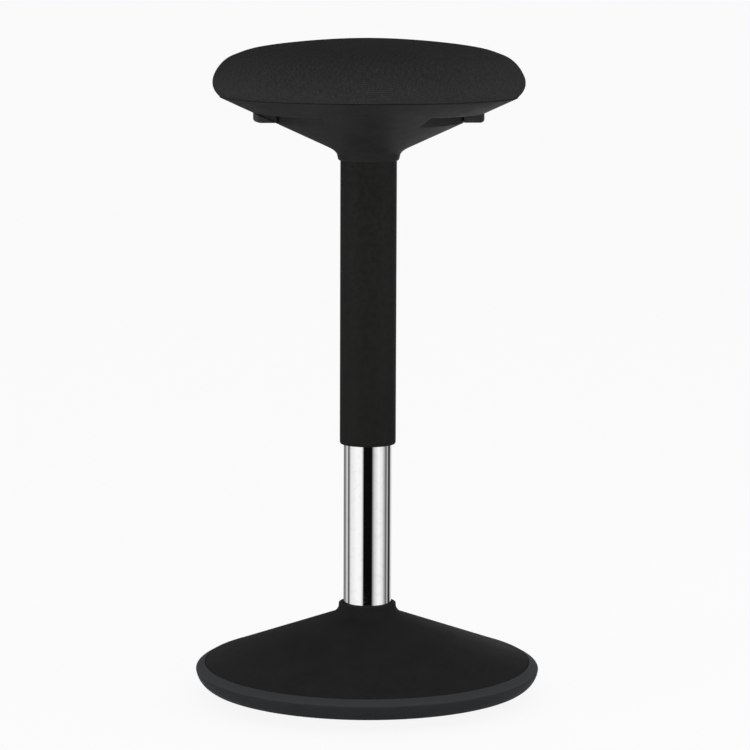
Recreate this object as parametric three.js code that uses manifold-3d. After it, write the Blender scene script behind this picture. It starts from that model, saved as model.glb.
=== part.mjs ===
// A wobble stool with a gas-lift column: a round seat that goes up and down and turns,
// two release levers under it, and a weighted base with a domed underside to rock on.
// Lengths are in millimetres, +Z is up, and the origin is the middle of the resting face.

import * as THREE from 'three';
import { mergeVertices } from 'three/addons/utils/BufferGeometryUtils.js';
import Module from 'manifold-3d';

const wasm = await Module();
wasm.setup();

// Fits
const fitGap = 0.3;
const cutOverrun = 2;
const weldDistance = 1e-4;

// Travel of the seat from the height it is drawn at
const travelUp = 50;
const travelDown = 150;
const endClearance = 1.8;

// Floor pad, rocker pan and ballast
const padRadius = 45;
const padThickness = 3;
const rockRadius = 1000;
const panWall = 5;
const ballastInset = 25;
const ballastBore = 34;
const ballastThickness = 10;

// Rubber ring
const baseRadius = 180;
const ringWidth = 10;
const ringTopWidth = 7.4;
const ringTopDrop = 1.1;
const ringWidestHeight = 23;
const ringUndersideWidth = 3.7;
const ringUndersideRise = 1.2;
const tongueThickness = 2.4;
const tongueLength = 6;

// Base shell
const shellWall = 3.5;
const baseConeAngle = 21.9;
const coneEdgeHeight = 32;
const hubWall = 5.5;
const hubRise = 8.4;
const hubLipRadius = 4;
const hubFillet = 4.5;
const sleeveDepth = 6;
const sleeveWall = 3.6;

// Screws that hold the pan to the shell
const baseScrewCount = 6;
const baseScrewInset = 20;
const baseBossRadius = 5;
const baseBossInsertion = 16;

// Column socket and its bolts
const socketWall = 5.8;
const socketFlangeRadius = 58;
const socketFlangeThickness = 5;
const ballastBoltCount = 3;
const ballastBoltCircle = 46;
const ballastBoltRadius = 4;
const ballastBoltHeadRadius = 6.5;
const ballastBoltHeadHeight = 5;
const ballastBoltGrip = 8;

// Stand tube and its bush
const standTubeRadius = 25;
const standTubeWall = 1.5;
const standTubeLength = 338;
const standTubeTaper = 0.8;
const endPlateThickness = 3;
const rodEndRoom = 10;
const bushLength = 80;
const bushFlange = 2;

// Thrust bearing, rod and piston
const raceThickness = 2;
const raceRadius = 14;
const ballRadius = 2.5;
const ballCount = 6;
const ballCircle = 9.5;
const cageThickness = 2;
const rodRadius = 5;
const rodNeckRadius = 3.6;
const rodTailLength = 5;
const clipThickness = 1.5;
const clipRadius = 8;
const clipGrooveDepth = 1;
const bumperLength = 18;
const bumperRadius = 12;
const pistonLength = 12;
const pistonNeckRadius = 4;
const rodHeadRadius = 6.5;
const rodHeadHeight = 2;

// Gas cylinder
const cylinderRadius = 14;
const cylinderWall = 1.5;
const cylinderLength = 377.2;
const cylinderTaper = 1.1;
const cylinderTaperLength = 60;
const cylinderLip = 1.5;
const cylinderCap = 4;
const guideLength = 16;
const sealThickness = 3;
const pressureTubeWall = 1;
const pressureTubeGap = 1;
const valveLength = 40;

// Release button
const buttonRadius = 3.7;
const buttonRise = 8.3;
const buttonDome = 0.8;
const buttonTail = 28;

// Cover tube and its glide ring
const glideClearance = 2.2;
const coverTubeWall = 2;
const coverTubeLength = 309.6;
const coverTubeRound = 1;
const glideLength = 18;

// Lift bracket
const bracketPlate = 2.5;
const bracketProud = 3;
const bracketHeight = 38.2;
const bracketHalfLength = 46;
const bracketInnerHalfWidth = 22;
const bracketFlangeWidth = 22;
const bracketSocketRadius = 18;
const bracketSocketLength = 51;

// Levers
const leverThickness = 6;
const leverHalfWidth = 12;
const pivotDistance = 30;
const pivotPinRadius = 3;
const pivotPinHead = 2;
const leverHubRadius = 6.5;
const leverLiftAngle = 7;
const paddleHeight = 8.9;
const paddleHalfWidth = 30;
const paddleStep = 1.5;
const paddleClearance = 0.5;
const liftClearance = 1.7;
const tongueHalfWidth = 4.4;
const knuckleReach = 5;
const knucklePinRadius = 1.5;
const knuckleSlack = 0.5;

// Seat housing
const housingInset = 7.1;
const housingWall = 3;
const housingEdge = 0.8;
const seatConeDepth = 55.65;
const collarWall = 2.3;
const collarFlare = 0.8;
const collarDrop = 9.1;
const collarFillet = 5;
const collarChamfer = 0.6;
const tubeSeatDepth = 14.7;
const windowHalfAngle = 62.5;
const windowEdgeDrop = 0.8;
const recessWall = 3.3;
const recessHeight = 22;

// Seat fasteners
const bracketBoltReach = 34;
const bracketBoltRadius = 3;
const bracketBoltHeadRadius = 5;
const bracketBoltHeadHeight = 4.5;
const teeNutBarrelWall = 1;
const teeNutFlangeRadius = 9;
const teeNutFlangeThickness = 1.2;
const teeNutBarrelShare = 0.8;
const screwRadius = 2;
const screwHeadRadius = 4;
const screwHeadHeight = 2.2;
const housingScrewCount = 4;
const housingBossRadius = 5;
const housingBossOffset = 1.4;
const housingScrewDepth = 10;
const driveRadiusShare = 0.5;
const driveDepthShare = 0.6;

// Seat board and cushion
const boardInset = 3.3;
const boardThickness = 12;
const coverThickness = 2;
const hemThickness = 0.7;
const hemWidth = 15;
const cushionRadius = 160.4;
const cushionHeight = 58.4;

// The cushion's section, as shares of its radius and of its height above the seam
const cushionShares = [
  [0.964, 0], [0.991, 0.1], [1, 0.22], [0.99, 0.38], [0.962, 0.515], [0.9, 0.67],
  [0.79, 0.788], [0.62, 0.885], [0.4, 0.958], [0.2, 0.989], [0, 1],
];

// Sides of the round pieces
const wideSides = 40;
const tubeSides = 28;
const boreSides = 20;
const smallSides = 10;
const keySides = 6;
const ballSides = 8;
const ballRings = 5;
const arcSteps = 3;
const fanSteps = 12;
const rockSteps = 4;

// Heights and radii that follow from the sizes above

const radians = (degrees) => THREE.MathUtils.degToRad(degrees);
const rockHeight = (r) => Math.sqrt(rockRadius ** 2 - padRadius ** 2) - Math.sqrt(rockRadius ** 2 - r ** 2);

const panFloor = padThickness + fitGap;
const shellRadius = baseRadius - ringWidth;
const panRadius = shellRadius;
const panTopAt = (r) => Math.max(panFloor, rockHeight(r)) + panWall;
const tongueBottom = panTopAt(panRadius) + fitGap;
const skirtBottom = tongueBottom + tongueThickness + fitGap;
const baseSlope = Math.tan(radians(baseConeAngle));
const shellTopAt = (r) => coneEdgeHeight + (shellRadius - r) * baseSlope;
const shellDrop = shellWall / Math.cos(radians(baseConeAngle));
const hubRadius = standTubeRadius + hubWall;
const hubTop = shellTopAt(hubRadius) + hubRise;
const sleeveRadius = standTubeRadius + fitGap + sleeveWall;
const sleeveBottom = shellTopAt(hubRadius) - shellDrop - sleeveDepth;
const baseScrewCircle = shellRadius - baseScrewInset;

const ballastRadius = baseScrewCircle - baseBossRadius - ballastInset;
const ballastBottom = panTopAt(ballastRadius) + fitGap;
const ballastTop = ballastBottom + ballastThickness;
const socketBottom = ballastTop + fitGap;
const socketFlangeTop = socketBottom + socketFlangeThickness;
const socketTop = sleeveBottom - fitGap;

const tubeBottom = socketBottom + rodEndRoom;
const tubeTop = tubeBottom + standTubeLength;
const tubeBore = standTubeRadius - standTubeWall;
const endPlateTop = tubeBottom + endPlateThickness;
const lowerRaceTop = endPlateTop + fitGap + raceThickness;
const ballHeight = lowerRaceTop + fitGap + ballRadius;
const upperRaceBottom = ballHeight + ballRadius + fitGap;
const rodShoulder = upperRaceBottom + raceThickness + fitGap;
const bumperTop = rodShoulder + bumperLength;

const cylinderBottom = bumperTop + endClearance + travelDown;
const cylinderTop = cylinderBottom + cylinderLength;
const cylinderBore = cylinderRadius - cylinderWall;
const guideBottom = cylinderBottom + cylinderLip + fitGap;
const guideTop = guideBottom + guideLength;
const sealTop = guideTop + fitGap + sealThickness;
const pistonBottom = sealTop + endClearance + travelUp;
const pistonTop = pistonBottom + pistonLength;
const pressureTubeRadius = cylinderBore - pressureTubeGap;
const pressureTubeBore = pressureTubeRadius - pressureTubeWall;
const valveTop = cylinderTop - cylinderCap - fitGap;
const valveBottom = valveTop - valveLength;
const buttonTop = cylinderTop + buttonRise;

const leverBottom = buttonTop + fitGap;
const leverTop = leverBottom + leverThickness;
const pivotHeight = (leverBottom + leverTop) / 2;
const paddleTop = leverBottom + paddleHeight;
const bracketFloorTop = cylinderTop - bracketProud;
const bracketTop = bracketFloorTop + bracketHeight;
const bracketOuterHalfWidth = bracketInnerHalfWidth + bracketPlate;

const boardBottom = bracketTop + fitGap;
const boardTop = boardBottom + boardThickness;
const seamHeight = boardBottom - fitGap - hemThickness;

const coverTubeRadius = standTubeRadius + glideClearance + coverTubeWall;
const coverTubeBore = coverTubeRadius - coverTubeWall;
const collarRadius = coverTubeRadius + collarWall;
const collarTopRadius = collarRadius + collarFlare;

const housingRadius = cushionRadius - housingInset;
const boardRadius = housingRadius - boardInset;
const housingRim = seamHeight - fitGap;
const seatSlope = seatConeDepth / (housingRadius - collarTopRadius);
const housingOuterAt = (r) => housingRim - housingEdge - (housingRadius - r) * seatSlope;
const housingRadiusAt = (z) => housingRadius - (housingRim - housingEdge - z) / seatSlope;
const housingRise = housingWall * Math.hypot(1, seatSlope);
const housingInnerRadiusAt = (z) => housingRadiusAt(z - housingRise);
const windowInner = housingRadiusAt(leverBottom - windowEdgeDrop);
const windowOuter = housingRadiusAt(paddleTop + fitGap);
const paddleOuter = windowOuter - paddleClearance;
const paddleInner = windowInner + liftClearance;
const leverRiseAtRecess = (windowInner - pivotDistance) * Math.tan(radians(leverLiftAngle));
const housingBossCircle = windowOuter + housingBossOffset + housingBossRadius;

const collarBottom = housingOuterAt(collarTopRadius) - collarDrop;
const tubeShoulder = collarBottom + tubeSeatDepth;
const coverTubeTop = tubeShoulder - fitGap;
const coverTubeBottom = coverTubeTop - coverTubeLength;

// Finishes
const paint = (color, roughness, metalness = 0) =>
  new THREE.MeshStandardMaterial({ color, roughness, metalness });
const moulded = paint(0x242424, 0.6);
const rubber = paint(0x36383a, 0.75);
const powderCoat = paint(0x1d1d1b, 0.5, 0.3);
const chrome = paint(0xd8dadc, 0.08, 1);
const castIron = paint(0x4a4a48, 0.7, 0.8);
const steel = paint(0x9a9c9e, 0.35, 1);
const zinc = paint(0xb4b4ae, 0.4, 1);
const nylon = paint(0xd9d6cc, 0.5);
const plywood = paint(0xb89a6a, 0.8);
const foam = paint(0xd8d2b0, 0.95);
const fabric = paint(0x1f1f20, 0.95);

// A geometry with shared corners, no slivers, and faces that point outwards
function closed(geometry) {
  geometry.deleteAttribute('normal');
  geometry.deleteAttribute('uv');
  const merged = mergeVertices(geometry, weldDistance);
  const corners = merged.index.array;
  const place = merged.attributes.position;
  const faces = [];
  let volume = 0;
  const [a, b, c] = [new THREE.Vector3(), new THREE.Vector3(), new THREE.Vector3()];
  for (let i = 0; i < corners.length; i += 3) {
    const face = [corners[i], corners[i + 1], corners[i + 2]];
    if (new Set(face).size < 3) continue;
    a.fromBufferAttribute(place, face[0]);
    b.fromBufferAttribute(place, face[1]);
    c.fromBufferAttribute(place, face[2]);
    volume += a.dot(b.cross(c));
    faces.push(face);
  }
  merged.setIndex(faces.flatMap(([i, j, k]) => (volume > 0 ? [i, j, k] : [i, k, j])));
  return merged;
}

const toSolid = (geometry) => {
  const mesh = closed(geometry.clone());
  return new wasm.Manifold(new wasm.Mesh({
    numProp: 3,
    vertProperties: new Float32Array(mesh.attributes.position.array),
    triVerts: new Uint32Array(mesh.index.array),
  }));
};

function fromSolid(solid) {
  const mesh = solid.getMesh();
  const geometry = new THREE.BufferGeometry();
  geometry.setAttribute('position', new THREE.BufferAttribute(mesh.vertProperties, 3));
  geometry.setIndex(new THREE.BufferAttribute(mesh.triVerts, 1));
  return geometry;
}

const merge = (step, first, rest) =>
  fromSolid(rest.reduce((left, g) => step(left, toSolid(g)), toSolid(first)));
const joined = (first, ...rest) => merge((left, right) => left.add(right), first, rest);
const cut = (first, ...rest) => merge((left, right) => left.subtract(right), first, rest);
const shared = (first, ...rest) => merge((left, right) => left.intersect(right), first, rest);

// A solid of revolution about Z, from [radius, height] points
function turned(outline, sides) {
  const points = outline.map(([r, z]) => new THREE.Vector2(r, z));
  const meetsAxis = outline[0][0] === 0 && outline.at(-1)[0] === 0;
  if (!meetsAxis) points.push(points[0].clone());
  return closed(new THREE.LatheGeometry(points, sides).rotateX(Math.PI / 2));
}

const ring = (inner, outer, bottom, top, sides) =>
  turned([[inner, bottom], [outer, bottom], [outer, top], [inner, top]], sides);

const disc = (radius, bottom, top, sides) =>
  turned([[0, bottom], [radius, bottom], [radius, top], [0, top]], sides);

// A cutter for a round hole with clearance, which overruns both faces
const borer = (radius, bottom, top) =>
  disc(radius + fitGap, bottom - cutOverrun, top + cutOverrun, smallSides);

const block = ([x0, x1], [y0, y1], [z0, z1]) =>
  new THREE.BoxGeometry(x1 - x0, y1 - y0, z1 - z0).translate((x0 + x1) / 2, (y0 + y1) / 2, (z0 + z1) / 2);

// A round bar along Y, for pins and their holes
const crossBar = (radius, from, to, x, z, sides = smallSides) =>
  new THREE.CylinderGeometry(radius, radius, to - from, sides).translate(x, (from + to) / 2, z);

// Points on a bend from one point to another round a corner, ends included
function bend(from, corner, to, steps = arcSteps) {
  const curve = new THREE.QuadraticBezierCurve(
    new THREE.Vector2(...from), new THREE.Vector2(...corner), new THREE.Vector2(...to));
  return curve.getPoints(steps).map(({ x, y }) => [x, y]);
}

// The wedge of a round piece that lies within an angle to each side of +X
function wedge(radius, halfAngle, bottom, top) {
  const fan = new THREE.Shape().moveTo(0, 0);
  for (let i = 0; i <= fanSteps; i += 1) {
    const angle = halfAngle * (2 * i / fanSteps - 1);
    fan.lineTo(radius * Math.cos(angle), radius * Math.sin(angle));
  }
  return new THREE.ExtrudeGeometry(fan, { depth: top - bottom, bevelEnabled: false }).translate(0, 0, bottom);
}

// A line of [radius, height] points moved square to itself, to its left
function offsetLine(line, distance) {
  return line.map(([r, z], i) => {
    const [r0, z0] = line[Math.max(i - 1, 0)];
    const [r1, z1] = line[Math.min(i + 1, line.length - 1)];
    const length = Math.hypot(r1 - r0, z1 - z0);
    return [Math.max(r - (z1 - z0) / length * distance, 0), z + (r1 - r0) / length * distance];
  });
}

const places = (count, radius, turn = 0) => Array.from({ length: count }, (_, i) => {
  const angle = turn + 2 * Math.PI * i / count;
  return [radius * Math.cos(angle), radius * Math.sin(angle)];
});

function piece(name, geometry, material, [x, y, z] = [0, 0, 0]) {
  const mesh = new THREE.Mesh(closed(geometry), material);
  mesh.name = name;
  mesh.position.set(x, y, z);
  return mesh;
}

// A screw along Z with its head up, the underside of the head at height zero
function screw(radius, length, headRadius, headHeight) {
  const body = turned([
    [0, -length], [radius, -length], [radius, 0], [headRadius, 0], [headRadius, headHeight], [0, headHeight],
  ], smallSides);
  const keyBottom = headHeight * (1 - driveDepthShare);
  return cut(body, disc(headRadius * driveRadiusShare, keyBottom, headHeight + cutOverrun, keySides));
}

const upended = (geometry) => geometry.clone().rotateX(Math.PI);
const at = (geometry, [x, y]) => geometry.clone().translate(x, y, 0);

// Base

function baseShell() {
  const bore = standTubeRadius + fitGap;
  const innerRim = shellRadius - shellWall;
  const shoulder = hubTop - hubLipRadius;
  const filletTop = shellTopAt(hubRadius) + hubFillet / 2;
  const body = turned([
    [innerRim, skirtBottom],
    [shellRadius, skirtBottom],
    [shellRadius, coneEdgeHeight],
    ...bend([hubRadius + 2 * hubFillet, shellTopAt(hubRadius + 2 * hubFillet)],
      [hubRadius, shellTopAt(hubRadius)], [hubRadius, filletTop]),
    ...bend([hubRadius, shoulder], [hubRadius, hubTop], [hubRadius - hubLipRadius, hubTop]),
    [bore, hubTop - fitGap],
    [bore, sleeveBottom],
    [sleeveRadius, sleeveBottom],
    [sleeveRadius, shellTopAt(sleeveRadius) - shellDrop],
    [innerRim, shellTopAt(innerRim) - shellDrop],
  ], wideSides);
  const bossBottom = panTopAt(baseScrewCircle + baseBossRadius) + fitGap;
  const bossTop = shellTopAt(baseScrewCircle) - shellDrop / 2;
  const boss = disc(baseBossRadius, bossBottom, bossTop, smallSides);
  const pilotTop = bossBottom + baseBossInsertion;
  const pilot = disc(screwRadius + fitGap, bossBottom - cutOverrun, pilotTop, smallSides);
  const spots = places(baseScrewCount, baseScrewCircle);
  return cut(joined(body, ...spots.map((spot) => at(boss, spot))), ...spots.map((spot) => at(pilot, spot)));
}

function rimRing() {
  const inner = shellRadius + fitGap;
  const underside = rockHeight(inner);
  const topEdge = [inner + ringTopWidth, coneEdgeHeight - ringTopDrop];
  const bottomEdge = [inner + ringUndersideWidth, underside + ringUndersideRise];
  return turned([
    [inner - tongueLength, tongueBottom],
    [inner, tongueBottom],
    [inner, underside],
    ...bend(bottomEdge, [baseRadius, bottomEdge[1] + ringUndersideRise], [baseRadius, ringWidestHeight]),
    ...bend([baseRadius, ringWidestHeight], [baseRadius, topEdge[1]], topEdge).slice(1),
    [inner, coneEdgeHeight],
    [inner, tongueBottom + tongueThickness],
    [inner - tongueLength, tongueBottom + tongueThickness],
  ], wideSides);
}

function rockerPan() {
  const recess = padRadius + fitGap;
  const stepWidth = (panRadius - recess) / rockSteps;
  const radii = Array.from({ length: rockSteps + 1 }, (_, i) => recess + stepWidth * i);
  const body = turned([
    [0, panFloor],
    [recess, panFloor],
    ...radii.map((r) => [r, rockHeight(r)]),
    ...radii.toReversed().map((r) => [r, panTopAt(r)]),
    [0, panTopAt(0)],
  ], wideSides);
  const under = rockHeight(baseScrewCircle);
  const spots = places(baseScrewCount, baseScrewCircle);
  const hole = borer(screwRadius, under, under + panWall);
  const roomTop = under + screwHeadHeight + fitGap;
  const headRoom = disc(screwHeadRadius + fitGap, under - cutOverrun, roomTop, smallSides);
  return cut(body, ...spots.flatMap((spot) => [at(hole, spot), at(headRoom, spot)]));
}

function ballastPlate() {
  const body = ring(ballastBore, ballastRadius, ballastBottom, ballastTop, wideSides);
  const hole = borer(ballastBoltRadius, ballastBottom, ballastTop);
  return cut(body, ...places(ballastBoltCount, ballastBoltCircle).map((spot) => at(hole, spot)));
}

function columnSocket() {
  const bore = standTubeRadius + fitGap;
  const outer = bore + socketWall;
  const body = turned([
    [bore - standTubeTaper, socketBottom],
    [socketFlangeRadius, socketBottom],
    [socketFlangeRadius, socketFlangeTop],
    [outer, socketFlangeTop],
    [outer, socketTop],
    [bore, socketTop],
    [bore - standTubeTaper, tubeBottom],
  ], tubeSides);
  const hole = borer(ballastBoltRadius, socketBottom, socketFlangeTop);
  return cut(body, ...places(ballastBoltCount, ballastBoltCircle).map((spot) => at(hole, spot)));
}

function baseAssembly() {
  const group = new THREE.Group();
  group.add(
    piece('base_shell', baseShell(), moulded),
    piece('rim_ring', rimRing(), rubber),
    piece('rocker_pan', rockerPan(), moulded),
    piece('floor_pad', disc(padRadius, 0, padThickness, tubeSides), rubber),
    piece('ballast_plate', ballastPlate(), castIron),
    piece('column_socket', columnSocket(), steel),
  );
  const headTop = rockHeight(baseScrewCircle) + screwHeadHeight;
  const pointTop = panTopAt(baseScrewCircle) + baseBossInsertion;
  const baseScrew = upended(screw(screwRadius, pointTop - headTop, screwHeadRadius, screwHeadHeight));
  places(baseScrewCount, baseScrewCircle).forEach(([x, y], i) => {
    group.add(piece(`base_screw_${i + 1}`, baseScrew, zinc, [x, y, headTop]));
  });
  const boltSeat = socketFlangeTop + fitGap;
  const boltLength = boltSeat - ballastTop + ballastBoltGrip;
  const ballastBolt = screw(ballastBoltRadius, boltLength, ballastBoltHeadRadius, ballastBoltHeadHeight);
  places(ballastBoltCount, ballastBoltCircle).forEach(([x, y], i) => {
    group.add(piece(`ballast_bolt_${i + 1}`, ballastBolt, zinc, [x, y, boltSeat]));
  });
  return group;
}

// Column

const standTube = () => turned([
  [rodNeckRadius + fitGap, tubeBottom],
  [standTubeRadius - standTubeTaper, tubeBottom],
  [standTubeRadius, socketTop],
  [standTubeRadius, tubeTop],
  [tubeBore, tubeTop],
  [tubeBore, socketTop],
  [tubeBore - standTubeTaper, endPlateTop],
  [rodNeckRadius + fitGap, endPlateTop],
], tubeSides);

const guideBush = () => turned([
  [cylinderRadius + fitGap, tubeTop - bushLength],
  [tubeBore - fitGap, tubeTop - bushLength],
  [tubeBore - fitGap, tubeTop + fitGap],
  [standTubeRadius, tubeTop + fitGap],
  [standTubeRadius, tubeTop + fitGap + bushFlange],
  [cylinderRadius + fitGap, tubeTop + fitGap + bushFlange],
], tubeSides);

function bearingCage() {
  const inner = rodNeckRadius + 2 * fitGap;
  const half = cageThickness / 2;
  const body = ring(inner, raceRadius - fitGap, ballHeight - half, ballHeight + half, boreSides);
  const pocket = disc(ballRadius + fitGap, ballHeight - ballRadius, ballHeight + ballRadius, smallSides);
  return cut(body, ...places(ballCount, ballCircle).map((spot) => at(pocket, spot)));
}

function pistonRod() {
  const clipTop = tubeBottom - fitGap;
  const groove = rodNeckRadius - clipGrooveDepth;
  const grooveBottom = clipTop - clipThickness - fitGap;
  return turned([
    [0, grooveBottom - rodTailLength],
    [rodNeckRadius, grooveBottom - rodTailLength],
    [rodNeckRadius, grooveBottom],
    [groove, grooveBottom],
    [groove, clipTop + fitGap],
    [rodNeckRadius, clipTop + fitGap],
    [rodNeckRadius, rodShoulder],
    [rodRadius, rodShoulder],
    [rodRadius, pistonBottom - fitGap],
    [pistonNeckRadius, pistonBottom - fitGap],
    [pistonNeckRadius, pistonTop + fitGap],
    [rodHeadRadius, pistonTop + fitGap],
    [rodHeadRadius, pistonTop + fitGap + rodHeadHeight],
    [0, pistonTop + fitGap + rodHeadHeight],
  ], smallSides);
}

function gasCylinder() {
  const taperStart = cylinderTop - cylinderTaperLength;
  const topRadius = cylinderRadius - cylinderTaper;
  return turned([
    [rodRadius + fitGap + cylinderWall, cylinderBottom],
    [cylinderRadius, cylinderBottom],
    [cylinderRadius, taperStart],
    [topRadius, cylinderTop],
    [buttonRadius + fitGap, cylinderTop],
    [buttonRadius + fitGap, cylinderTop - cylinderCap],
    [topRadius - cylinderWall, cylinderTop - cylinderCap],
    [cylinderBore, taperStart],
    [cylinderBore, cylinderBottom + cylinderLip],
    [rodRadius + fitGap + cylinderWall, cylinderBottom + cylinderLip],
  ], boreSides);
}

function releaseButton() {
  const shoulder = buttonTop - buttonDome;
  return turned([
    [0, cylinderTop - buttonTail],
    [buttonRadius, cylinderTop - buttonTail],
    [buttonRadius, shoulder],
    ...bend([buttonRadius, shoulder], [buttonRadius / 2, buttonTop], [0, buttonTop]).slice(1),
  ], smallSides);
}

const coverTube = () => turned([
  [coverTubeBore, coverTubeBottom + coverTubeRound],
  [coverTubeBore + coverTubeRound / 2, coverTubeBottom],
  [coverTubeRadius - coverTubeRound, coverTubeBottom],
  [coverTubeRadius, coverTubeBottom + coverTubeRound],
  [coverTubeRadius, coverTubeTop],
  [coverTubeBore, coverTubeTop],
], tubeSides);

function columnAssembly() {
  const group = new THREE.Group();
  const raceBore = rodNeckRadius + fitGap;
  const clipTop = tubeBottom - fitGap;
  const clipBore = rodNeckRadius - clipGrooveDepth + fitGap;
  const valveRadius = cylinderRadius - cylinderTaper - cylinderWall - fitGap;
  const glideBottom = coverTubeBottom + coverTubeRound;
  const glideTop = glideBottom + glideLength;
  group.add(
    piece('stand_tube', standTube(), chrome),
    piece('guide_bush', guideBush(), nylon),
    piece('bearing_race_lower',
      ring(raceBore, raceRadius, endPlateTop + fitGap, lowerRaceTop, boreSides), steel),
    piece('bearing_race_upper',
      ring(raceBore, raceRadius, upperRaceBottom, upperRaceBottom + raceThickness, boreSides), steel),
    piece('bearing_cage', bearingCage(), nylon),
    piece('piston_rod', pistonRod(), chrome),
    piece('rod_clip', ring(clipBore, clipRadius, clipTop - clipThickness, clipTop, smallSides), steel),
    piece('rod_bumper', ring(rodRadius + fitGap, bumperRadius, rodShoulder, bumperTop, smallSides), rubber),
    piece('piston',
      ring(pistonNeckRadius + fitGap, pressureTubeBore - fitGap, pistonBottom, pistonTop, boreSides), nylon),
    piece('gas_cylinder', gasCylinder(), powderCoat),
    piece('pressure_tube',
      ring(pressureTubeBore, pressureTubeRadius, guideTop + fitGap, valveBottom - fitGap, boreSides), steel),
    piece('cylinder_guide',
      ring(rodRadius + fitGap, cylinderBore - fitGap, guideBottom, guideTop, boreSides), nylon),
    piece('cylinder_seal',
      ring(rodRadius + fitGap, pressureTubeBore - fitGap, guideTop + fitGap, sealTop, boreSides), rubber),
    piece('valve_block', ring(buttonRadius + fitGap, valveRadius, valveBottom, valveTop, boreSides), nylon),
    piece('release_button', releaseButton(), steel),
    piece('cover_tube', coverTube(), powderCoat),
    piece('glide_ring',
      ring(standTubeRadius + fitGap, coverTubeBore - fitGap, glideBottom, glideTop, tubeSides), nylon),
  );
  const ball = new THREE.SphereGeometry(ballRadius, ballSides, ballRings);
  places(ballCount, ballCircle).forEach(([x, y], i) => {
    group.add(piece(`bearing_ball_${i + 1}`, ball.clone(), steel, [x, y, ballHeight]));
  });
  return group;
}

// Seat

function recessWalls() {
  const bottom = housingOuterAt(windowInner - recessWall) + housingRise / 2;
  const top = bottom + recessHeight;
  const reach = windowInner + cutOverrun;
  const wallAngle = radians(windowHalfAngle) + recessWall / windowInner;
  const arc = shared(ring(windowInner - recessWall, windowInner, bottom, top, wideSides),
    wedge(reach, wallAngle, bottom, top));
  const endWall = shared(
    ring(windowInner - recessWall, windowOuter + recessWall, bottom, top, wideSides),
    turned([
      [windowInner - recessWall, housingOuterAt(windowInner - recessWall) + housingRise / 2],
      [windowOuter + recessWall, housingOuterAt(windowOuter + recessWall) + housingRise / 2],
      [windowOuter + recessWall, top],
      [windowInner - recessWall, top],
    ], wideSides),
    cut(wedge(2 * windowOuter, wallAngle, bottom, top),
      wedge(2 * windowOuter, radians(windowHalfAngle), bottom - cutOverrun, top + cutOverrun)),
  );
  const side = joined(arc, endWall);
  return [side, side.clone().rotateZ(Math.PI)];
}

function windowCutters() {
  const bottom = housingOuterAt(windowInner) - cutOverrun;
  const top = housingRim + cutOverrun;
  const side = shared(ring(windowInner, windowOuter, bottom, top, wideSides),
    wedge(2 * windowOuter, radians(windowHalfAngle), bottom, top));
  return [side, side.clone().rotateZ(Math.PI)];
}

function armSlots() {
  const side = block(
    [windowInner - 2 * recessWall, windowInner + cutOverrun],
    [-leverHalfWidth - paddleClearance, leverHalfWidth + paddleClearance],
    [housingOuterAt(windowInner - 2 * recessWall) - cutOverrun, leverTop + leverRiseAtRecess + liftClearance],
  );
  return [side, side.clone().rotateZ(Math.PI)];
}

function seatHousing() {
  const bore = coverTubeRadius + fitGap;
  const throat = coverTubeBore + fitGap;
  const floorTop = tubeShoulder + housingWall;
  const filletRadius = collarTopRadius + 2 * collarFillet;
  const body = turned([
    [bore, collarBottom],
    [collarRadius - collarChamfer, collarBottom],
    [collarRadius, collarBottom + collarChamfer],
    ...bend([collarTopRadius, housingOuterAt(collarTopRadius) - collarFillet],
      [collarTopRadius, housingOuterAt(collarTopRadius)], [filletRadius, housingOuterAt(filletRadius)]),
    [housingRadius, housingOuterAt(housingRadius)],
    [housingRadius, housingRim],
    [housingInnerRadiusAt(housingRim), housingRim],
    [housingInnerRadiusAt(floorTop), floorTop],
    [throat, floorTop],
    [throat, tubeShoulder],
    [bore, tubeShoulder],
  ], wideSides);
  const bossTop = boardBottom - fitGap;
  const bossBottom = housingOuterAt(housingBossCircle) + housingRise / 2;
  const boss = disc(housingBossRadius, bossBottom, bossTop, smallSides);
  const hole = disc(screwRadius + fitGap, bossTop - housingScrewDepth, bossTop + cutOverrun, smallSides);
  const spots = places(housingScrewCount, housingBossCircle, Math.PI / housingScrewCount);
  const opened = cut(body, ...windowCutters());
  const fitted = joined(opened, ...recessWalls(), ...spots.map((spot) => at(boss, spot)));
  return cut(fitted, ...spots.map((spot) => at(hole, spot)), ...armSlots());
}

const bracketBoltPlaces = [[1, 1], [-1, 1], [-1, -1], [1, -1]]
  .map(([x, y]) => [x * bracketBoltReach, y * bracketBoltReach]);

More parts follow.
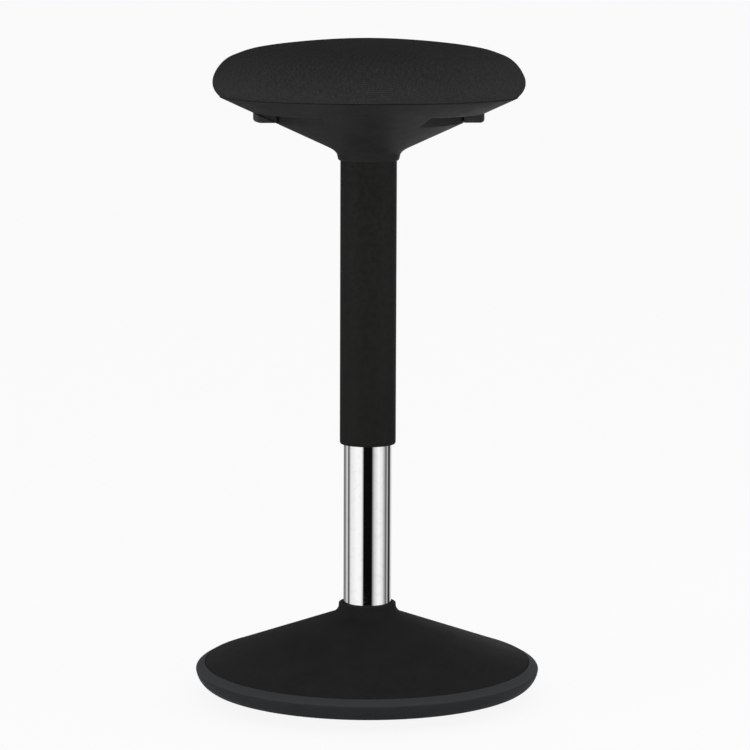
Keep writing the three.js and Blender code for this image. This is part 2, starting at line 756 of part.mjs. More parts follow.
function liftBracket() {
  const floorBottom = bracketFloorTop - bracketPlate;
  const span = [-bracketHalfLength, bracketHalfLength];
  const floor = block(span, [-bracketOuterHalfWidth, bracketOuterHalfWidth], [floorBottom, bracketFloorTop]);
  const wall = block(span, [bracketInnerHalfWidth, bracketOuterHalfWidth], [floorBottom, bracketTop]);
  const flange = block(span, [bracketInnerHalfWidth, bracketInnerHalfWidth + bracketFlangeWidth],
    [bracketTop - bracketPlate, bracketTop]);
  const socketEnd = bracketFloorTop - bracketSocketLength;
  const socket = disc(bracketSocketRadius, socketEnd, floorBottom + bracketPlate / 2, tubeSides);
  const sides = [wall, flange].flatMap((side) => [side, side.clone().rotateZ(Math.PI)]);
  const channel = joined(floor, ...sides, socket);
  const taperStart = cylinderTop - cylinderTaperLength;
  const radiusAt = (z) => cylinderRadius + fitGap - cylinderTaper * (z - taperStart) / cylinderTaperLength;
  const low = socketEnd - cutOverrun;
  const high = bracketFloorTop + cutOverrun;
  const bore = turned([[0, low], [radiusAt(low), low], [radiusAt(high), high], [0, high]], tubeSides);
  const boltHole = borer(bracketBoltRadius, bracketTop - bracketPlate, bracketTop);
  const wide = bracketOuterHalfWidth + cutOverrun;
  const pinHoles = [pivotDistance, -pivotDistance]
    .map((x) => crossBar(pivotPinRadius + fitGap, -wide, wide, x, pivotHeight));
  return cut(channel, bore, ...pinHoles, ...bracketBoltPlaces.map((spot) => at(boltHole, spot)));
}

function pivotPin() {
  const wallFace = bracketOuterHalfWidth + fitGap;
  const shank = crossBar(pivotPinRadius, -wallFace - pivotPinHead, wallFace + pivotPinHead / 2, 0, 0);
  return joined(shank, crossBar(pivotPinRadius + pivotPinHead, -wallFace - pivotPinHead, -wallFace, 0, 0));
}

// A lever that reaches out along +X from the button, with its paddle under the window
function leverBlank(noseFrom) {
  const sector = (halfWidth, solid) => shared(solid,
    block([0, 2 * paddleOuter], [-halfWidth, halfWidth], [leverBottom - cutOverrun, paddleTop + cutOverrun]));
  const filled = ring(paddleInner, paddleOuter, leverBottom, paddleTop, wideSides);
  const lip = turned([
    [paddleInner, leverBottom], [paddleOuter, leverBottom], [paddleOuter, paddleTop],
  ], wideSides);
  const armSpan = [noseFrom, paddleInner + cutOverrun];
  const arm = block(armSpan, [-leverHalfWidth, leverHalfWidth], [leverBottom, leverTop]);
  const hubHalf = bracketInnerHalfWidth - paddleClearance;
  const hub = crossBar(leverHubRadius, -hubHalf, hubHalf, pivotDistance, pivotHeight);
  const pinHole = crossBar(pivotPinRadius + fitGap, -hubHalf - cutOverrun, hubHalf + cutOverrun,
    pivotDistance, pivotHeight);
  const paddle = [sector(paddleHalfWidth - paddleStep, filled), sector(paddleHalfWidth, lip)];
  return cut(joined(arm, ...paddle, hub), pinHole);
}

// Where the levers' narrow inner ends begin, and the height that their cuts go through
const knuckleRoot = knuckleReach + 2 * knuckleSlack + fitGap;
const knuckleLayer = [leverBottom - cutOverrun, leverTop + cutOverrun];

// The right lever ends in a tongue with a long hole for the knuckle pin
function leverRight() {
  const slotHalf = knucklePinRadius + fitGap;
  const trims = [1, -1].map((side) => block([-knuckleReach - cutOverrun, knuckleRoot],
    [tongueHalfWidth, leverHalfWidth + cutOverrun].map((y) => side * y).sort((p, q) => p - q), knuckleLayer));
  const slot = block([-knuckleSlack - slotHalf, knuckleSlack + slotHalf],
    [-leverHalfWidth, leverHalfWidth], [pivotHeight - slotHalf, pivotHeight + slotHalf]);
  return cut(leverBlank(-knuckleReach), ...trims, slot);
}

// The left lever ends in a fork that holds the knuckle pin
function leverLeft() {
  const gap = block([-knuckleReach - cutOverrun, knuckleRoot],
    [-tongueHalfWidth - 2 * fitGap, tongueHalfWidth + 2 * fitGap], knuckleLayer);
  const hole = crossBar(knucklePinRadius + fitGap, -leverHalfWidth - cutOverrun, leverHalfWidth + cutOverrun,
    0, pivotHeight);
  return cut(leverBlank(-knuckleReach), gap, hole).rotateZ(Math.PI);
}

function seatBoard() {
  const recessBottom = boardTop - teeNutFlangeThickness - fitGap;
  const body = disc(boardRadius, boardBottom, boardTop, wideSides);
  const barrelRadius = bracketBoltRadius + fitGap + teeNutBarrelWall;
  const through = (radius) => borer(radius, boardBottom, boardTop);
  const sunk = (radius, bottom) => disc(radius + fitGap, bottom, boardTop + cutOverrun, smallSides);
  const screwPlaces = places(housingScrewCount, housingBossCircle, Math.PI / housingScrewCount);
  return cut(body,
    ...bracketBoltPlaces.flatMap((spot) => [
      at(through(barrelRadius), spot), at(sunk(teeNutFlangeRadius, recessBottom), spot)]),
    ...screwPlaces.flatMap((spot) => [
      at(through(screwRadius), spot), at(sunk(screwHeadRadius, boardTop - screwHeadHeight - fitGap), spot)]),
  );
}

function teeNut() {
  const barrelBottom = fitGap - teeNutBarrelShare * boardThickness;
  const flangeBottom = -teeNutFlangeThickness;
  const bore = bracketBoltRadius + fitGap;
  const barrel = bore + teeNutBarrelWall;
  return turned([
    [bore, barrelBottom],
    [barrel, barrelBottom],
    [barrel, flangeBottom],
    [teeNutFlangeRadius, flangeBottom],
    [teeNutFlangeRadius, 0],
    [bore, 0],
  ], smallSides);
}

// The cushion's outside line, from the seam up to the crown
const cushionLine = cushionShares.map(([r, z]) => [r * cushionRadius, seamHeight + z * cushionHeight]);

function seatCover() {
  const hemInner = boardRadius - hemWidth;
  const hemTop = seamHeight + hemThickness;
  const inside = offsetLine(cushionLine, coverThickness).filter(([, z]) => z > hemTop + hemThickness);
  inside[inside.length - 1][0] = 0;
  return turned([
    [0, inside.at(-1)[1]],
    ...inside.slice(0, -1).toReversed(),
    [cushionLine[0][0] - coverThickness, hemTop],
    [hemInner, hemTop],
    [hemInner, seamHeight],
    ...cushionLine,
  ], wideSides);
}

// The foam fills the cover, and follows every second point of its section
function seatFoam() {
  const clearance = coverThickness + fitGap;
  const skirtBottomZ = boardBottom + clearance;
  const outside = offsetLine(cushionLine.filter((_, i) => i % 2 === 0), clearance)
    .filter(([, z]) => z > skirtBottomZ + fitGap);
  outside[outside.length - 1][0] = 0;
  return turned([
    [0, boardTop + fitGap],
    [boardRadius + fitGap, boardTop + fitGap],
    [boardRadius + fitGap, skirtBottomZ],
    [cushionLine[0][0] - clearance, skirtBottomZ],
    ...outside,
  ], wideSides);
}

function seatAssembly() {
  const group = new THREE.Group();
  group.add(
    piece('seat_housing', seatHousing(), moulded),
    piece('lift_bracket', liftBracket(), powderCoat),
    piece('lever_left', leverLeft(), moulded),
    piece('lever_right', leverRight(), moulded),
    piece('knuckle_pin',
      crossBar(knucklePinRadius, -leverHalfWidth, leverHalfWidth, 0, 0), steel, [0, 0, pivotHeight]),
    piece('pivot_pin_left', pivotPin(), steel, [-pivotDistance, 0, pivotHeight]),
    piece('pivot_pin_right', pivotPin(), steel, [pivotDistance, 0, pivotHeight]),
    piece('seat_board', seatBoard(), plywood),
    piece('seat_foam', seatFoam(), foam),
    piece('seat_cover', seatCover(), fabric),
  );
  const boltSeat = bracketTop - bracketPlate - fitGap;
  const boltLength = boardTop - teeNutFlangeThickness - boltSeat;
  const bracketBolt = upended(
    screw(bracketBoltRadius, boltLength, bracketBoltHeadRadius, bracketBoltHeadHeight));
  bracketBoltPlaces.forEach(([x, y], i) => {
    group.add(
      piece(`bracket_bolt_${i + 1}`, bracketBolt, zinc, [x, y, boltSeat]),
      piece(`tee_nut_${i + 1}`, teeNut(), zinc, [x, y, boardTop]),
    );
  });
  const headSeat = boardTop - screwHeadHeight;
  const housingScrew = screw(screwRadius, headSeat - boardBottom + housingScrewDepth - 2 * fitGap,
    screwHeadRadius, screwHeadHeight);
  places(housingScrewCount, housingBossCircle, Math.PI / housingScrewCount).forEach(([x, y], i) => {
    group.add(piece(`housing_screw_${i + 1}`, housingScrew, zinc, [x, y, headSeat]));
  });
  return group;
}

const stool = new THREE.Group();
stool.add(baseAssembly(), columnAssembly(), seatAssembly());

export default stool;
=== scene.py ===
"""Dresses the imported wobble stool: a domed base that rocks, a gas-lift column and a round knitted seat.

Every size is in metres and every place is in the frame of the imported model, with Z up.
"""

import functools
import logging
import math
from collections.abc import Callable, Iterable, Sequence
from dataclasses import dataclass
from enum import Enum
from typing import TypeVar

import bmesh
import bpy
from mathutils import Matrix, Vector


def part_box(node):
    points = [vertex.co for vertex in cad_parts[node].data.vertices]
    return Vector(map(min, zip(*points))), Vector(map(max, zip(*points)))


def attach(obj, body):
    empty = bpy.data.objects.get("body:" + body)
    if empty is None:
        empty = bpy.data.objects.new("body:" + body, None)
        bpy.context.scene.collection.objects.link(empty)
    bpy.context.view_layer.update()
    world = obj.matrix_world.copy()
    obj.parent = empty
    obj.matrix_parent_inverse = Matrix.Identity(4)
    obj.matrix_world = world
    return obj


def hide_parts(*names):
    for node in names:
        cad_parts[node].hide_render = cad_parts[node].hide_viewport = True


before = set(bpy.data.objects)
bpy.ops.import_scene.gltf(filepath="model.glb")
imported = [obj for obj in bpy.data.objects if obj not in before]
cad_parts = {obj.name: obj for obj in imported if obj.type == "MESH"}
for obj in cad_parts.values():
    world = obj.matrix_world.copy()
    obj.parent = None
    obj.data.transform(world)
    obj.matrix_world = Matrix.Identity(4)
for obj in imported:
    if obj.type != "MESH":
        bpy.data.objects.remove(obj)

LOG = logging.getLogger("wobble_stool")
WELD = 1e-5
OVERCUT = 0.001
LEVEL = 0.01
UPWARD = 0.5
SIDEWAYS = 0.1
WHITE = (1.0, 1.0, 1.0, 1.0)
ALL_ROUND = math.tau
WEAVE_MAP = "weave"

Point = tuple[float, float]
Colour = tuple[float, float, float]
Socket = bpy.types.NodeSocket
Value = float | Sequence[float] | Socket
Material = bpy.types.Material
Piece = bpy.types.Object
Mesh = bmesh.types.BMesh
Vertex = bmesh.types.BMVert
Edge = bmesh.types.BMEdge
Face = bmesh.types.BMFace
Kind = TypeVar("Kind")


class Slot(Enum):
    """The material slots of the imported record."""

    MOULDED = "moulded"
    RUBBER = "rubber"
    POWDER_COAT = "powder_coat"
    CHROME = "chrome"
    CAST_IRON = "cast_iron"
    STEEL = "steel"
    ZINC = "zinc"
    NYLON = "nylon"
    PLYWOOD = "plywood"
    FOAM = "foam"
    FABRIC = "fabric"


class Operation(Enum):
    """The ways in which one solid is combined with another."""

    JOIN = "UNION"
    CUT = "DIFFERENCE"


# Materials


class Graph:
    """The nodes of one material or world, with short calls for what the finishes share."""

    def __init__(self, owner: Material | bpy.types.World) -> None:
        """Starts an empty node tree.

        Args:
            owner: The material or world that the nodes belong to.
        """
        owner.use_nodes = True
        self.owner = owner
        self.nodes = owner.node_tree.nodes
        self.links = owner.node_tree.links
        self.nodes.clear()

    def add(self, kind: str, feeds: dict[str | int, Value] | None = None,
            **options: object) -> bpy.types.Node:
        """Adds a node.

        Args:
            kind: The node's type name.
            feeds: What each input gets, by the input's name or number.
            options: The node's own settings.

        Returns:
            The node.
        """
        node = self.nodes.new(kind)
        for name, value in options.items():
            setattr(node, name, value)
        for key, value in (feeds or {}).items():
            self.feed(node.inputs[key], value)
        return node

    def feed(self, socket: Socket, value: Value) -> None:
        """Gives an input its value.

        Args:
            socket: The input.
            value: The output that it is linked to, or its plain value.
        """
        if isinstance(value, Socket):
            self.links.new(value, socket)
        else:
            socket.default_value = value

    def place(self) -> Socket:
        """Returns the point on the piece, in metres."""
        return self.add("ShaderNodeTexCoord").outputs["Object"]

    def part(self, vector: Socket, axis: str = "Z") -> Socket:
        """Returns one part of a vector."""
        return self.add("ShaderNodeSeparateXYZ", {"Vector": vector}).outputs[axis]

    def stretched(self, point: Socket, scale: Sequence[float]) -> Socket:
        """Returns a point with each of its parts scaled."""
        return self.add("ShaderNodeMapping", {"Vector": point, "Scale": scale}).outputs["Vector"]

    def glow(self, strength: Socket) -> Socket:
        """Returns a shader that shines white."""
        return self.add("ShaderNodeEmission", {"Color": WHITE, "Strength": strength}).outputs["Emission"]

    def noise(self, size: float, detail: float = 2.0, place: Socket | None = None) -> Socket:
        """Returns noise, from about 0.25 to 0.75, whose clouds are a size apart in metres."""
        feeds = {"Vector": place or self.place(), "Scale": 1 / size, "Detail": detail}
        return self.add("ShaderNodeTexNoise", feeds).outputs["Fac"]

    def between(self, source: Socket, low: float, high: float, span: Point = (0.3, 0.7)) -> Socket:
        """Returns a value whose span is stretched from low to high, and which stays level beyond it."""
        feeds = {"Value": source, "From Min": span[0], "From Max": span[1], "To Min": low, "To Max": high}
        return self.add("ShaderNodeMapRange", feeds).outputs["Result"]

    def sum(self, operation: str, first: Value, second: Value = 0.0) -> Socket:
        """Works out one sum, such as MULTIPLY or PINGPONG, of two values."""
        return self.add("ShaderNodeMath", {0: first, 1: second}, operation=operation).outputs[0]

    def tint(self, share: Socket, first: Value, second: Value) -> Socket:
        """Mixes two colours by a share from 0, the first, to 1, the second."""
        first, second = (c if isinstance(c, Socket) else (*c, 1.0) for c in (first, second))
        return self.add("ShaderNodeMix", {0: share, 6: first, 7: second}, data_type="RGBA").outputs[2]

    def relief(self, height: Socket, depth: float, under: Socket | None = None) -> Socket:
        """Turns a height into a bump.

        Args:
            height: The height, from 0 to 1.
            depth: How far apart 0 and 1 are, in metres.
            under: A bump that this one lies on.

        Returns:
            The bumped normal.
        """
        feeds = {"Height": height, "Distance": depth}
        if under is not None:
            feeds["Normal"] = under
        return self.add("ShaderNodeBump", feeds).outputs["Normal"]

    def seen(self) -> Socket:
        """Tells the rays that are seen from light that spreads.

        Returns:
            1 for rays from the camera, a reflection or glass, otherwise 0.
        """
        path = self.add("ShaderNodeLightPath").outputs
        some = self.sum("MAXIMUM", path["Is Camera Ray"], path["Is Glossy Ray"])
        return self.sum("MAXIMUM", some, path["Is Transmission Ray"])


def shaded(colour: Colour, share: float) -> Colour:
    """Returns a colour made lighter or darker by a share of itself."""
    return tuple(channel * share for channel in colour)


@dataclass(frozen=True)
class Finish:
    """A finish with a cloudy colour, an uneven gloss and a fine grain.

    Attributes:
        slot: The record's slot that it is for.
        colour: Its middle colour.
        roughness: Its middle roughness.
        specular: How strongly it reflects, 0.5 for most plastics.
        metallic: 1 for bare metal, otherwise 0.
        clouds: How far the colour strays, as a share.
        cloud_size: How far apart the clouds are.
        gloss_change: How far the roughness strays.
        grain_size: How far apart the grain's bumps are.
        grain_depth: How deep the grain is.
        wear: How much lighter the worn edges are, as a share.
        edge_span: The pointiness at which an edge starts to wear, and at which it is worn.
        patch_size: How far apart the worn patches are.
        patch_span: The noise at which a patch starts, and at which it is whole.
        patch_least: How worn an edge is between the patches.
    """

    slot: Slot
    colour: Colour
    roughness: float
    specular: float = 0.5
    metallic: float = 0.0
    clouds: float = 0.12
    cloud_size: float = 0.03
    gloss_change: float = 0.05
    grain_size: float = 0.0006
    grain_depth: float = 0.00003
    wear: float = 0.3
    edge_span: Point = (0.51, 0.58)
    patch_size: float = 0.006
    patch_span: Point = (0.4, 0.6)
    patch_least: float = 0.2

    def material(self) -> Material:
        """Makes the finish's material.

        Returns:
            The material.
        """
        graph = Graph(bpy.data.materials.new(f"{self.slot.value}_finish"))
        feeds = {
            "Base Color": self.tone(graph),
            "Roughness": self.gloss(graph),
            "Normal": self.grain(graph),
            "Metallic": self.metallic,
            "Specular IOR Level": self.specular,
            **self.extras(),
        }
        shader = graph.add("ShaderNodeBsdfPrincipled", feeds)
        graph.add("ShaderNodeOutputMaterial", {"Surface": shader.outputs["BSDF"]})
        return graph.owner

    def tone(self, graph: Graph) -> Socket:
        """Returns the colour over the surface."""
        plain = self.strayed(graph, graph.noise(self.cloud_size, detail=4.0))
        return graph.tint(self.rubbed(graph), plain, shaded(self.colour, 1 + self.wear))

    def strayed(self, graph: Graph, noise: Socket) -> Socket:
        """Returns the colour, made darker and lighter by noise."""
        share = graph.between(noise, 0.0, 1.0)
        return graph.tint(share, shaded(self.colour, 1 - self.clouds), shaded(self.colour, 1 + self.clouds))

    def rubbed(self, graph: Graph) -> Socket:
        """Works out how worn the surface is.

        Args:
            graph: The material's nodes.

        Returns:
            0 where it is whole, up to 1 in patches along its edges.
        """
        sharp = graph.add("ShaderNodeNewGeometry").outputs["Pointiness"]
        edges = graph.between(sharp, 0.0, 1.0, self.edge_span)
        noise = graph.noise(self.patch_size, detail=3.0)
        return graph.sum("MULTIPLY", edges, graph.between(noise, self.patch_least, 1.0, self.patch_span))

    def gloss(self, graph: Graph) -> Socket:
        """Returns the roughness over the surface."""
        low, high = self.roughness - self.gloss_change, self.roughness + self.gloss_change
        return graph.between(graph.noise(self.cloud_size / 2, detail=3.0), low, high)

    def grain(self, graph: Graph) -> Socket:
        """Returns the bumped normal."""
        return graph.relief(graph.noise(self.grain_size), self.grain_depth)

    def extras(self) -> dict[str, Value]:
        """Returns what else the shader gets."""
        return {}


@dataclass(frozen=True)
class Rubber(Finish):
    """Rubber with painted light from above: paler on what faces up.

    Attributes:
        top_light: How much lighter the painted light from above makes a face, as a share.
        top_light_span: How far up a face looks, from 0 to 1, where the painted light sets in and where it is
            full.
    """

    top_light: float = 0.65
    top_light_span: Point = (0.25, 0.6)

    def tone(self, graph: Graph) -> Socket:
        """Mixes the colour, paler with painted light where a face looks up.

        Args:
            graph: The material's nodes.

        Returns:
            The colour.
        """
        up = graph.part(graph.add("ShaderNodeNewGeometry").outputs["Normal"])
        # painted light: faces that look up are made paler, as if lit from above
        lit_top = graph.between(up, 0.0, 1.0, self.top_light_span)
        return graph.tint(lit_top, super().tone(graph), shaded(self.colour, 1 + self.top_light))


@dataclass(frozen=True)
class Metal(Finish):
    """Bare metal with fine machining lines round the upright axis."""

    metallic: float = 1.0
    line_pitch: float = 0.0004
    line_depth: float = 0.000004
    line_stretch: tuple[float, ...] = (0.02, 0.02, 1.0)

    def grain(self, graph: Graph) -> Socket:
        """Returns the bumped normal of the lines, which lie level."""
        drawn = graph.stretched(graph.place(), self.line_stretch)
        return graph.relief(graph.noise(self.line_pitch, detail=3.0, place=drawn), self.line_depth)


@dataclass(frozen=True)
class Chrome(Finish):
    """Polished plate with faint smears and the slightest waviness."""

    metallic: float = 1.0
    smear_size: float = 0.018
    smear_change: float = 0.05
    smear_stretch: tuple[float, ...] = (1.0, 1.0, 0.35)
    smear_span: Point = (0.5, 0.85)
    wave_size: float = 0.04
    wave_depth: float = 0.00002

    def gloss(self, graph: Graph) -> Socket:
        """Returns the roughness, which smears raise here and there."""
        drawn, most = graph.stretched(graph.place(), self.smear_stretch), self.roughness + self.smear_change
        return graph.between(graph.noise(self.smear_size, 4.0, drawn), self.roughness, most, self.smear_span)

    def grain(self, graph: Graph) -> Socket:
        """Returns the bumped normal of the waviness."""
        return graph.relief(graph.noise(self.wave_size, detail=1.0), self.wave_depth)


@dataclass(frozen=True)
class Plywood(Finish):
    """Birch veneer with its grain along X, and layers that show at the edge.

    Attributes:
        layer: How thick a layer is.
        layer_edge: The heights within a layer between which its tone changes.
        layer_shade: The darker layers' colour, as a share.
        streak: How far apart the veneer's streaks are.
        streak_shades: The darkest and the lightest streak's colour, as shares.
        grain_length: How long the streaks are for their width.
    """

    layer: float = 0.0013
    layer_edge: Point = (0.0004, 0.0009)
    layer_shade: float = 0.6
    streak: float = 0.05
    streak_shades: Point = (0.8, 1.15)
    grain_length: float = 12.0

    def tone(self, graph: Graph) -> Socket:
        """Mixes the veneer's colour, darker on every second layer.

        Args:
            graph: The material's nodes.

        Returns:
            The colour.
        """
        drawn = graph.stretched(graph.place(), (1.0, self.grain_length, 1.0))
        streaks = graph.between(graph.noise(self.streak, detail=6.0, place=drawn), 0.0, 1.0)
        veneer = graph.tint(streaks, *(shaded(self.colour, share) for share in self.streak_shades))
        layers = graph.sum("PINGPONG", graph.part(graph.place()), self.layer)
        share = graph.between(layers, 0.0, 1.0, self.layer_edge)
        return graph.tint(share, shaded(self.colour, self.layer_shade), veneer)


@dataclass(frozen=True)
class Foam(Finish):
    """Cut foam with open cells."""

    cell: float = 0.0009

    def grain(self, graph: Graph) -> Socket:
        """Returns the bumped normal of the cells."""
        cells = graph.add("ShaderNodeTexVoronoi", {"Vector": graph.place(), "Scale": 1 / self.cell})
        return graph.relief(cells.outputs["Distance"], self.grain_depth)


@dataclass(frozen=True)
class Knit(Finish):
    """A fine plain knit, whose columns of stitches lie across the cushion from front to back.

    Attributes:
        wale: The width of a column of stitches.
        course: The height of a row of stitches.
        stitch_depth: How deep the gaps between the stitches are.
        row_least: How high the yarn is between two rows, as a share.
        gap_shade: The colour in the gaps, as a share of the yarn's, which is painted shade between the
            stitches.
        slub: The width of the lighter and darker streaks in the yarn.
        slub_stretch: The streaks' width for their length.
        sheen: How much the yarn's fuzz lights up at a glancing angle.
        sheen_roughness: How widely that light spreads.
    """

    wale: float = 0.0024
    course: float = 0.0021
    stitch_depth: float = 0.0004
    row_least: float = 0.4
    gap_shade: float = 0.3
    slub: float = 0.0022
    slub_stretch: float = 0.4
    sheen: float = 0.014
    sheen_roughness: float = 0.45

    def stitches(self, graph: Graph) -> Socket:
        """Draws the stitches.

        Args:
            graph: The material's nodes.

        Returns:
            Their height, from 0 in a gap to 1 on the yarn.
        """
        along, up = (graph.part(self.weave(graph), axis) for axis in "XY")
        leg = graph.sum("PINGPONG", graph.sum("DIVIDE", along, self.wale), 0.5)
        turns = graph.sum("ADD", graph.sum("DIVIDE", up, self.course), leg)
        row = graph.sum("MULTIPLY", graph.sum("PINGPONG", turns, 0.5), 2.0)
        across = graph.sum("SINE", graph.sum("MULTIPLY", leg, ALL_ROUND))
        return graph.sum("MULTIPLY", across, graph.between(row, self.row_least, 1.0, (0.0, 1.0)))

    def weave(self, graph: Graph) -> Socket:
        """Returns the point on the flat cloth, in metres."""
        return graph.add("ShaderNodeUVMap", uv_map=WEAVE_MAP).outputs["UV"]

    def tone(self, graph: Graph) -> Socket:
        """Mixes the yarn's colour, darkened by painted shade in the gaps and streaked along the columns.

        Args:
            graph: The material's nodes.

        Returns:
            The colour.
        """
        drawn = graph.stretched(self.weave(graph), (1.0, self.slub_stretch, 1.0))
        yarn = self.strayed(graph, graph.noise(self.slub, place=drawn))
        # painted shade: the gaps between the stitches are darkened
        return graph.tint(self.stitches(graph), shaded(self.colour, self.gap_shade), yarn)

    def grain(self, graph: Graph) -> Socket:
        """Returns the bumped normal of the stitches over the yarn's own fuzz."""
        fuzz = graph.relief(graph.noise(self.grain_size, detail=3.0), self.grain_depth)
        return graph.relief(self.stitches(graph), self.stitch_depth, fuzz)

    def extras(self) -> dict[str, Value]:
        """Returns the fuzz's sheen."""
        return {"Sheen Weight": self.sheen, "Sheen Roughness": self.sheen_roughness}


FINISHES = (
    Finish(Slot.MOULDED, (0.0158, 0.0158, 0.0159), 0.7, specular=0.03, grain_size=0.0005,
           grain_depth=0.00004),
    Rubber(Slot.RUBBER, (0.0275, 0.029, 0.0308), 0.65, specular=0.03, clouds=0.08, grain_size=0.0008),
    Finish(Slot.POWDER_COAT, (0.0144, 0.0144, 0.0136), 0.55, specular=0.03, clouds=0.06, grain_size=0.0011,
           grain_depth=0.00003),
    Chrome(Slot.CHROME, (0.93, 0.93, 0.94), 0.03, clouds=0.01),
    Finish(Slot.CAST_IRON, (0.07, 0.07, 0.07), 0.75, metallic=0.6, clouds=0.3, grain_size=0.002,
           grain_depth=0.0003),
    Metal(Slot.STEEL, (0.45, 0.46, 0.47), 0.35),
    Metal(Slot.ZINC, (0.6, 0.6, 0.58), 0.4, clouds=0.15, cloud_size=0.004),
    Finish(Slot.NYLON, (0.7, 0.68, 0.62), 0.5, clouds=0.04),
    Plywood(Slot.PLYWOOD, (0.55, 0.4, 0.24), 0.65),
    Foam(Slot.FOAM, (0.7, 0.66, 0.5), 0.9, grain_depth=0.0004),
    Knit(Slot.FABRIC, (0.06, 0.06, 0.0608), 0.95, specular=0.0, clouds=0.2, grain_size=0.0003,
         grain_depth=0.00005),
)
# The seat cone's copy of the moulded plastic: glossier, and with a lighter colour that is painted light on
# its underside.
LIT_SEAT_PLASTIC = Finish(Slot.MOULDED, (0.0195, 0.0195, 0.0196), 0.5, specular=0.05, grain_size=0.0005,
                      grain_depth=0.00004)
# The levers' copy of the moulded plastic, whose lighter colour is painted light on their tabs.
LIT_LEVER_PLASTIC = Finish(Slot.MOULDED, (0.029, 0.029, 0.0292), 0.45, specular=0.08, grain_size=0.0005)


# Meshes


@functools.cache
def box(node: str) -> tuple[Vector, Vector]:
    """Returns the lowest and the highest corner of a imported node."""
    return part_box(node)


def blend(shares: Iterable[float], points: Iterable[Point]) -> Point:
    """Returns the sum of points, each times its share."""
    pairs = list(zip(shares, points))
    return tuple(sum(share * point[axis] for share, point in pairs) for axis in (0, 1))


def bend(start: Point, corner: Point, end: Point, steps: int = 8) -> list[Point]:
    """Draws a curve that leaves and arrives along the two sides of a corner.

    Args:
        start: Where it starts.
        corner: The corner that pulls it.
        end: Where it ends.
        steps: How many straight pieces it has.

    Returns:
        Its points, with both ends.
    """
    points = []
    for step in range(steps + 1):
        t = step / steps
        points.append(blend(((1 - t) ** 2, 2 * t * (1 - t), t * t), (start, corner, end)))
    return points


def revolve(outline: Sequence[Point], steps: int, closed: bool = True) -> Mesh:
    """Turns a section once round the upright axis.

    Args:
        outline: The section's points, as radius and height.
        steps: How many flat faces the turn has.
        closed: Whether the last point joins the first.

    Returns:
        The mesh, with its faces outwards.
    """
    mesh = bmesh.new()
    points = [mesh.verts.new((radius, 0.0, height)) for radius, height in outline]
    pairs = zip(points, points[1:] + points[:1] if closed else points[1:])
    edges = [mesh.edges.new(pair) for pair in pairs]
    bmesh.ops.spin(mesh, geom=points + edges, cent=(0, 0, 0), axis=(0, 0, 1), angle=ALL_ROUND, steps=steps,
                   use_merge=True)
    return mended(mesh)


def mended(mesh: Mesh) -> Mesh:
    """Merges the doubles of a closed mesh and turns its faces outwards.

    Args:
        mesh: The mesh.

    Returns:
        The same mesh.
    """
    bmesh.ops.remove_doubles(mesh, verts=mesh.verts, dist=WELD)
    bmesh.ops.recalc_face_normals(mesh, faces=mesh.faces)
    return mesh


def rounded(mesh: Mesh, width: float, segments: int = 2,
            chosen: Callable[[Edge], bool] = lambda edge: True,
            crease: float = math.radians(25)) -> Mesh:
    """Bevels the sharp edges of a mesh.

    Args:
        mesh: The mesh.
        width: How far the bevel reaches from the edge.
        segments: How many faces it has across.
        chosen: Says which of the sharp edges are bevelled.
        crease: The angle from which an edge is sharp.

    Returns:
        The same mesh.
    """
    edges = [e for e in mesh.edges if e.is_manifold and e.calc_face_angle() > crease and chosen(e)]
    bmesh.ops.bevel(mesh, geom=edges, offset=width, offset_type="OFFSET", segments=segments, profile=0.5,
                    affect="EDGES", material=-1, clamp_overlap=True)
    return mesh


def to_object(mesh: Mesh, name: str, crease: float = math.radians(35)) -> Piece:
    """Makes an object of a mesh, smooth but for its sharp edges.

    Args:
        mesh: The mesh, which is used up.
        name: The object's name.
        crease: The angle from which an edge is sharp.

    Returns:
        The object, at the origin.
    """
    for face in mesh.faces:
        face.smooth = True
    for edge in mesh.edges:
        edge.smooth = edge.is_manifold and edge.calc_face_angle() < crease
    data = bpy.data.meshes.new(name)
    mesh.to_mesh(data)
    mesh.free()
    piece = bpy.data.objects.new(name, data)
    bpy.context.scene.collection.objects.link(piece)
    return piece


def to_mesh(piece: Piece) -> Mesh:
    """Copies a piece as it is seen, with its modifiers, into a mesh.

    Args:
        piece: The piece.

    Returns:
        The mesh.
    """
    mesh = bmesh.new()
    mesh.from_object(piece, bpy.context.evaluated_depsgraph_get())
    return mesh


def only(kind: type[Kind], geometry: Iterable[object]) -> list[Kind]:
    """Returns the elements of one kind from mixed geometry."""
    return [element for element in geometry if isinstance(element, kind)]


def grown(mesh: Mesh, faces: list[Face], kind: type[Kind]) -> list[Kind]:
    """Extrudes faces and returns the new elements of one kind."""
    return only(kind, bmesh.ops.extrude_face_region(mesh, geom=faces)["geom"])


def turned(mesh: Mesh, angle: float) -> Mesh:
    """Turns a mesh round the upright axis and returns it."""
    bmesh.ops.rotate(mesh, verts=mesh.verts, cent=(0, 0, 0), matrix=Matrix.Rotation(angle, 3, "Z"))
    return mesh


def gathered(base: Mesh, parts: Iterable[Mesh]) -> Mesh:
    """Puts closed solids into a mesh as they are, each with its own whole surface.

    Args:
        base: The mesh that they go into.
        parts: The solids, which are used up.

    Returns:
        The same mesh.
    """
    for part in parts:
        data = bpy.data.meshes.new("part")
        part.to_mesh(data)
        part.free()
        base.from_mesh(data)
        bpy.data.meshes.remove(data)
    return base


def combined(base: Mesh, tools: Iterable[Mesh], operation: Operation) -> Mesh:
    """Joins solids to a solid, or cuts them from it.

    Args:
        base: The solid, which is used up.
        tools: The other solids, which are used up too.
        operation: What is done with them.

    Returns:
        The new solid.
    """
    body = to_object(base, "base_solid")
    helpers = [to_object(tool, "tool_solid") for tool in tools]
    for helper in helpers:
        modifier = body.modifiers.new(helper.name, "BOOLEAN")
        modifier.object = helper
        modifier.operation = operation.value
        modifier.solver = "EXACT"
    mesh = to_mesh(body)
    for spare in (body, *helpers):
        bpy.data.objects.remove(spare)
    return mesh


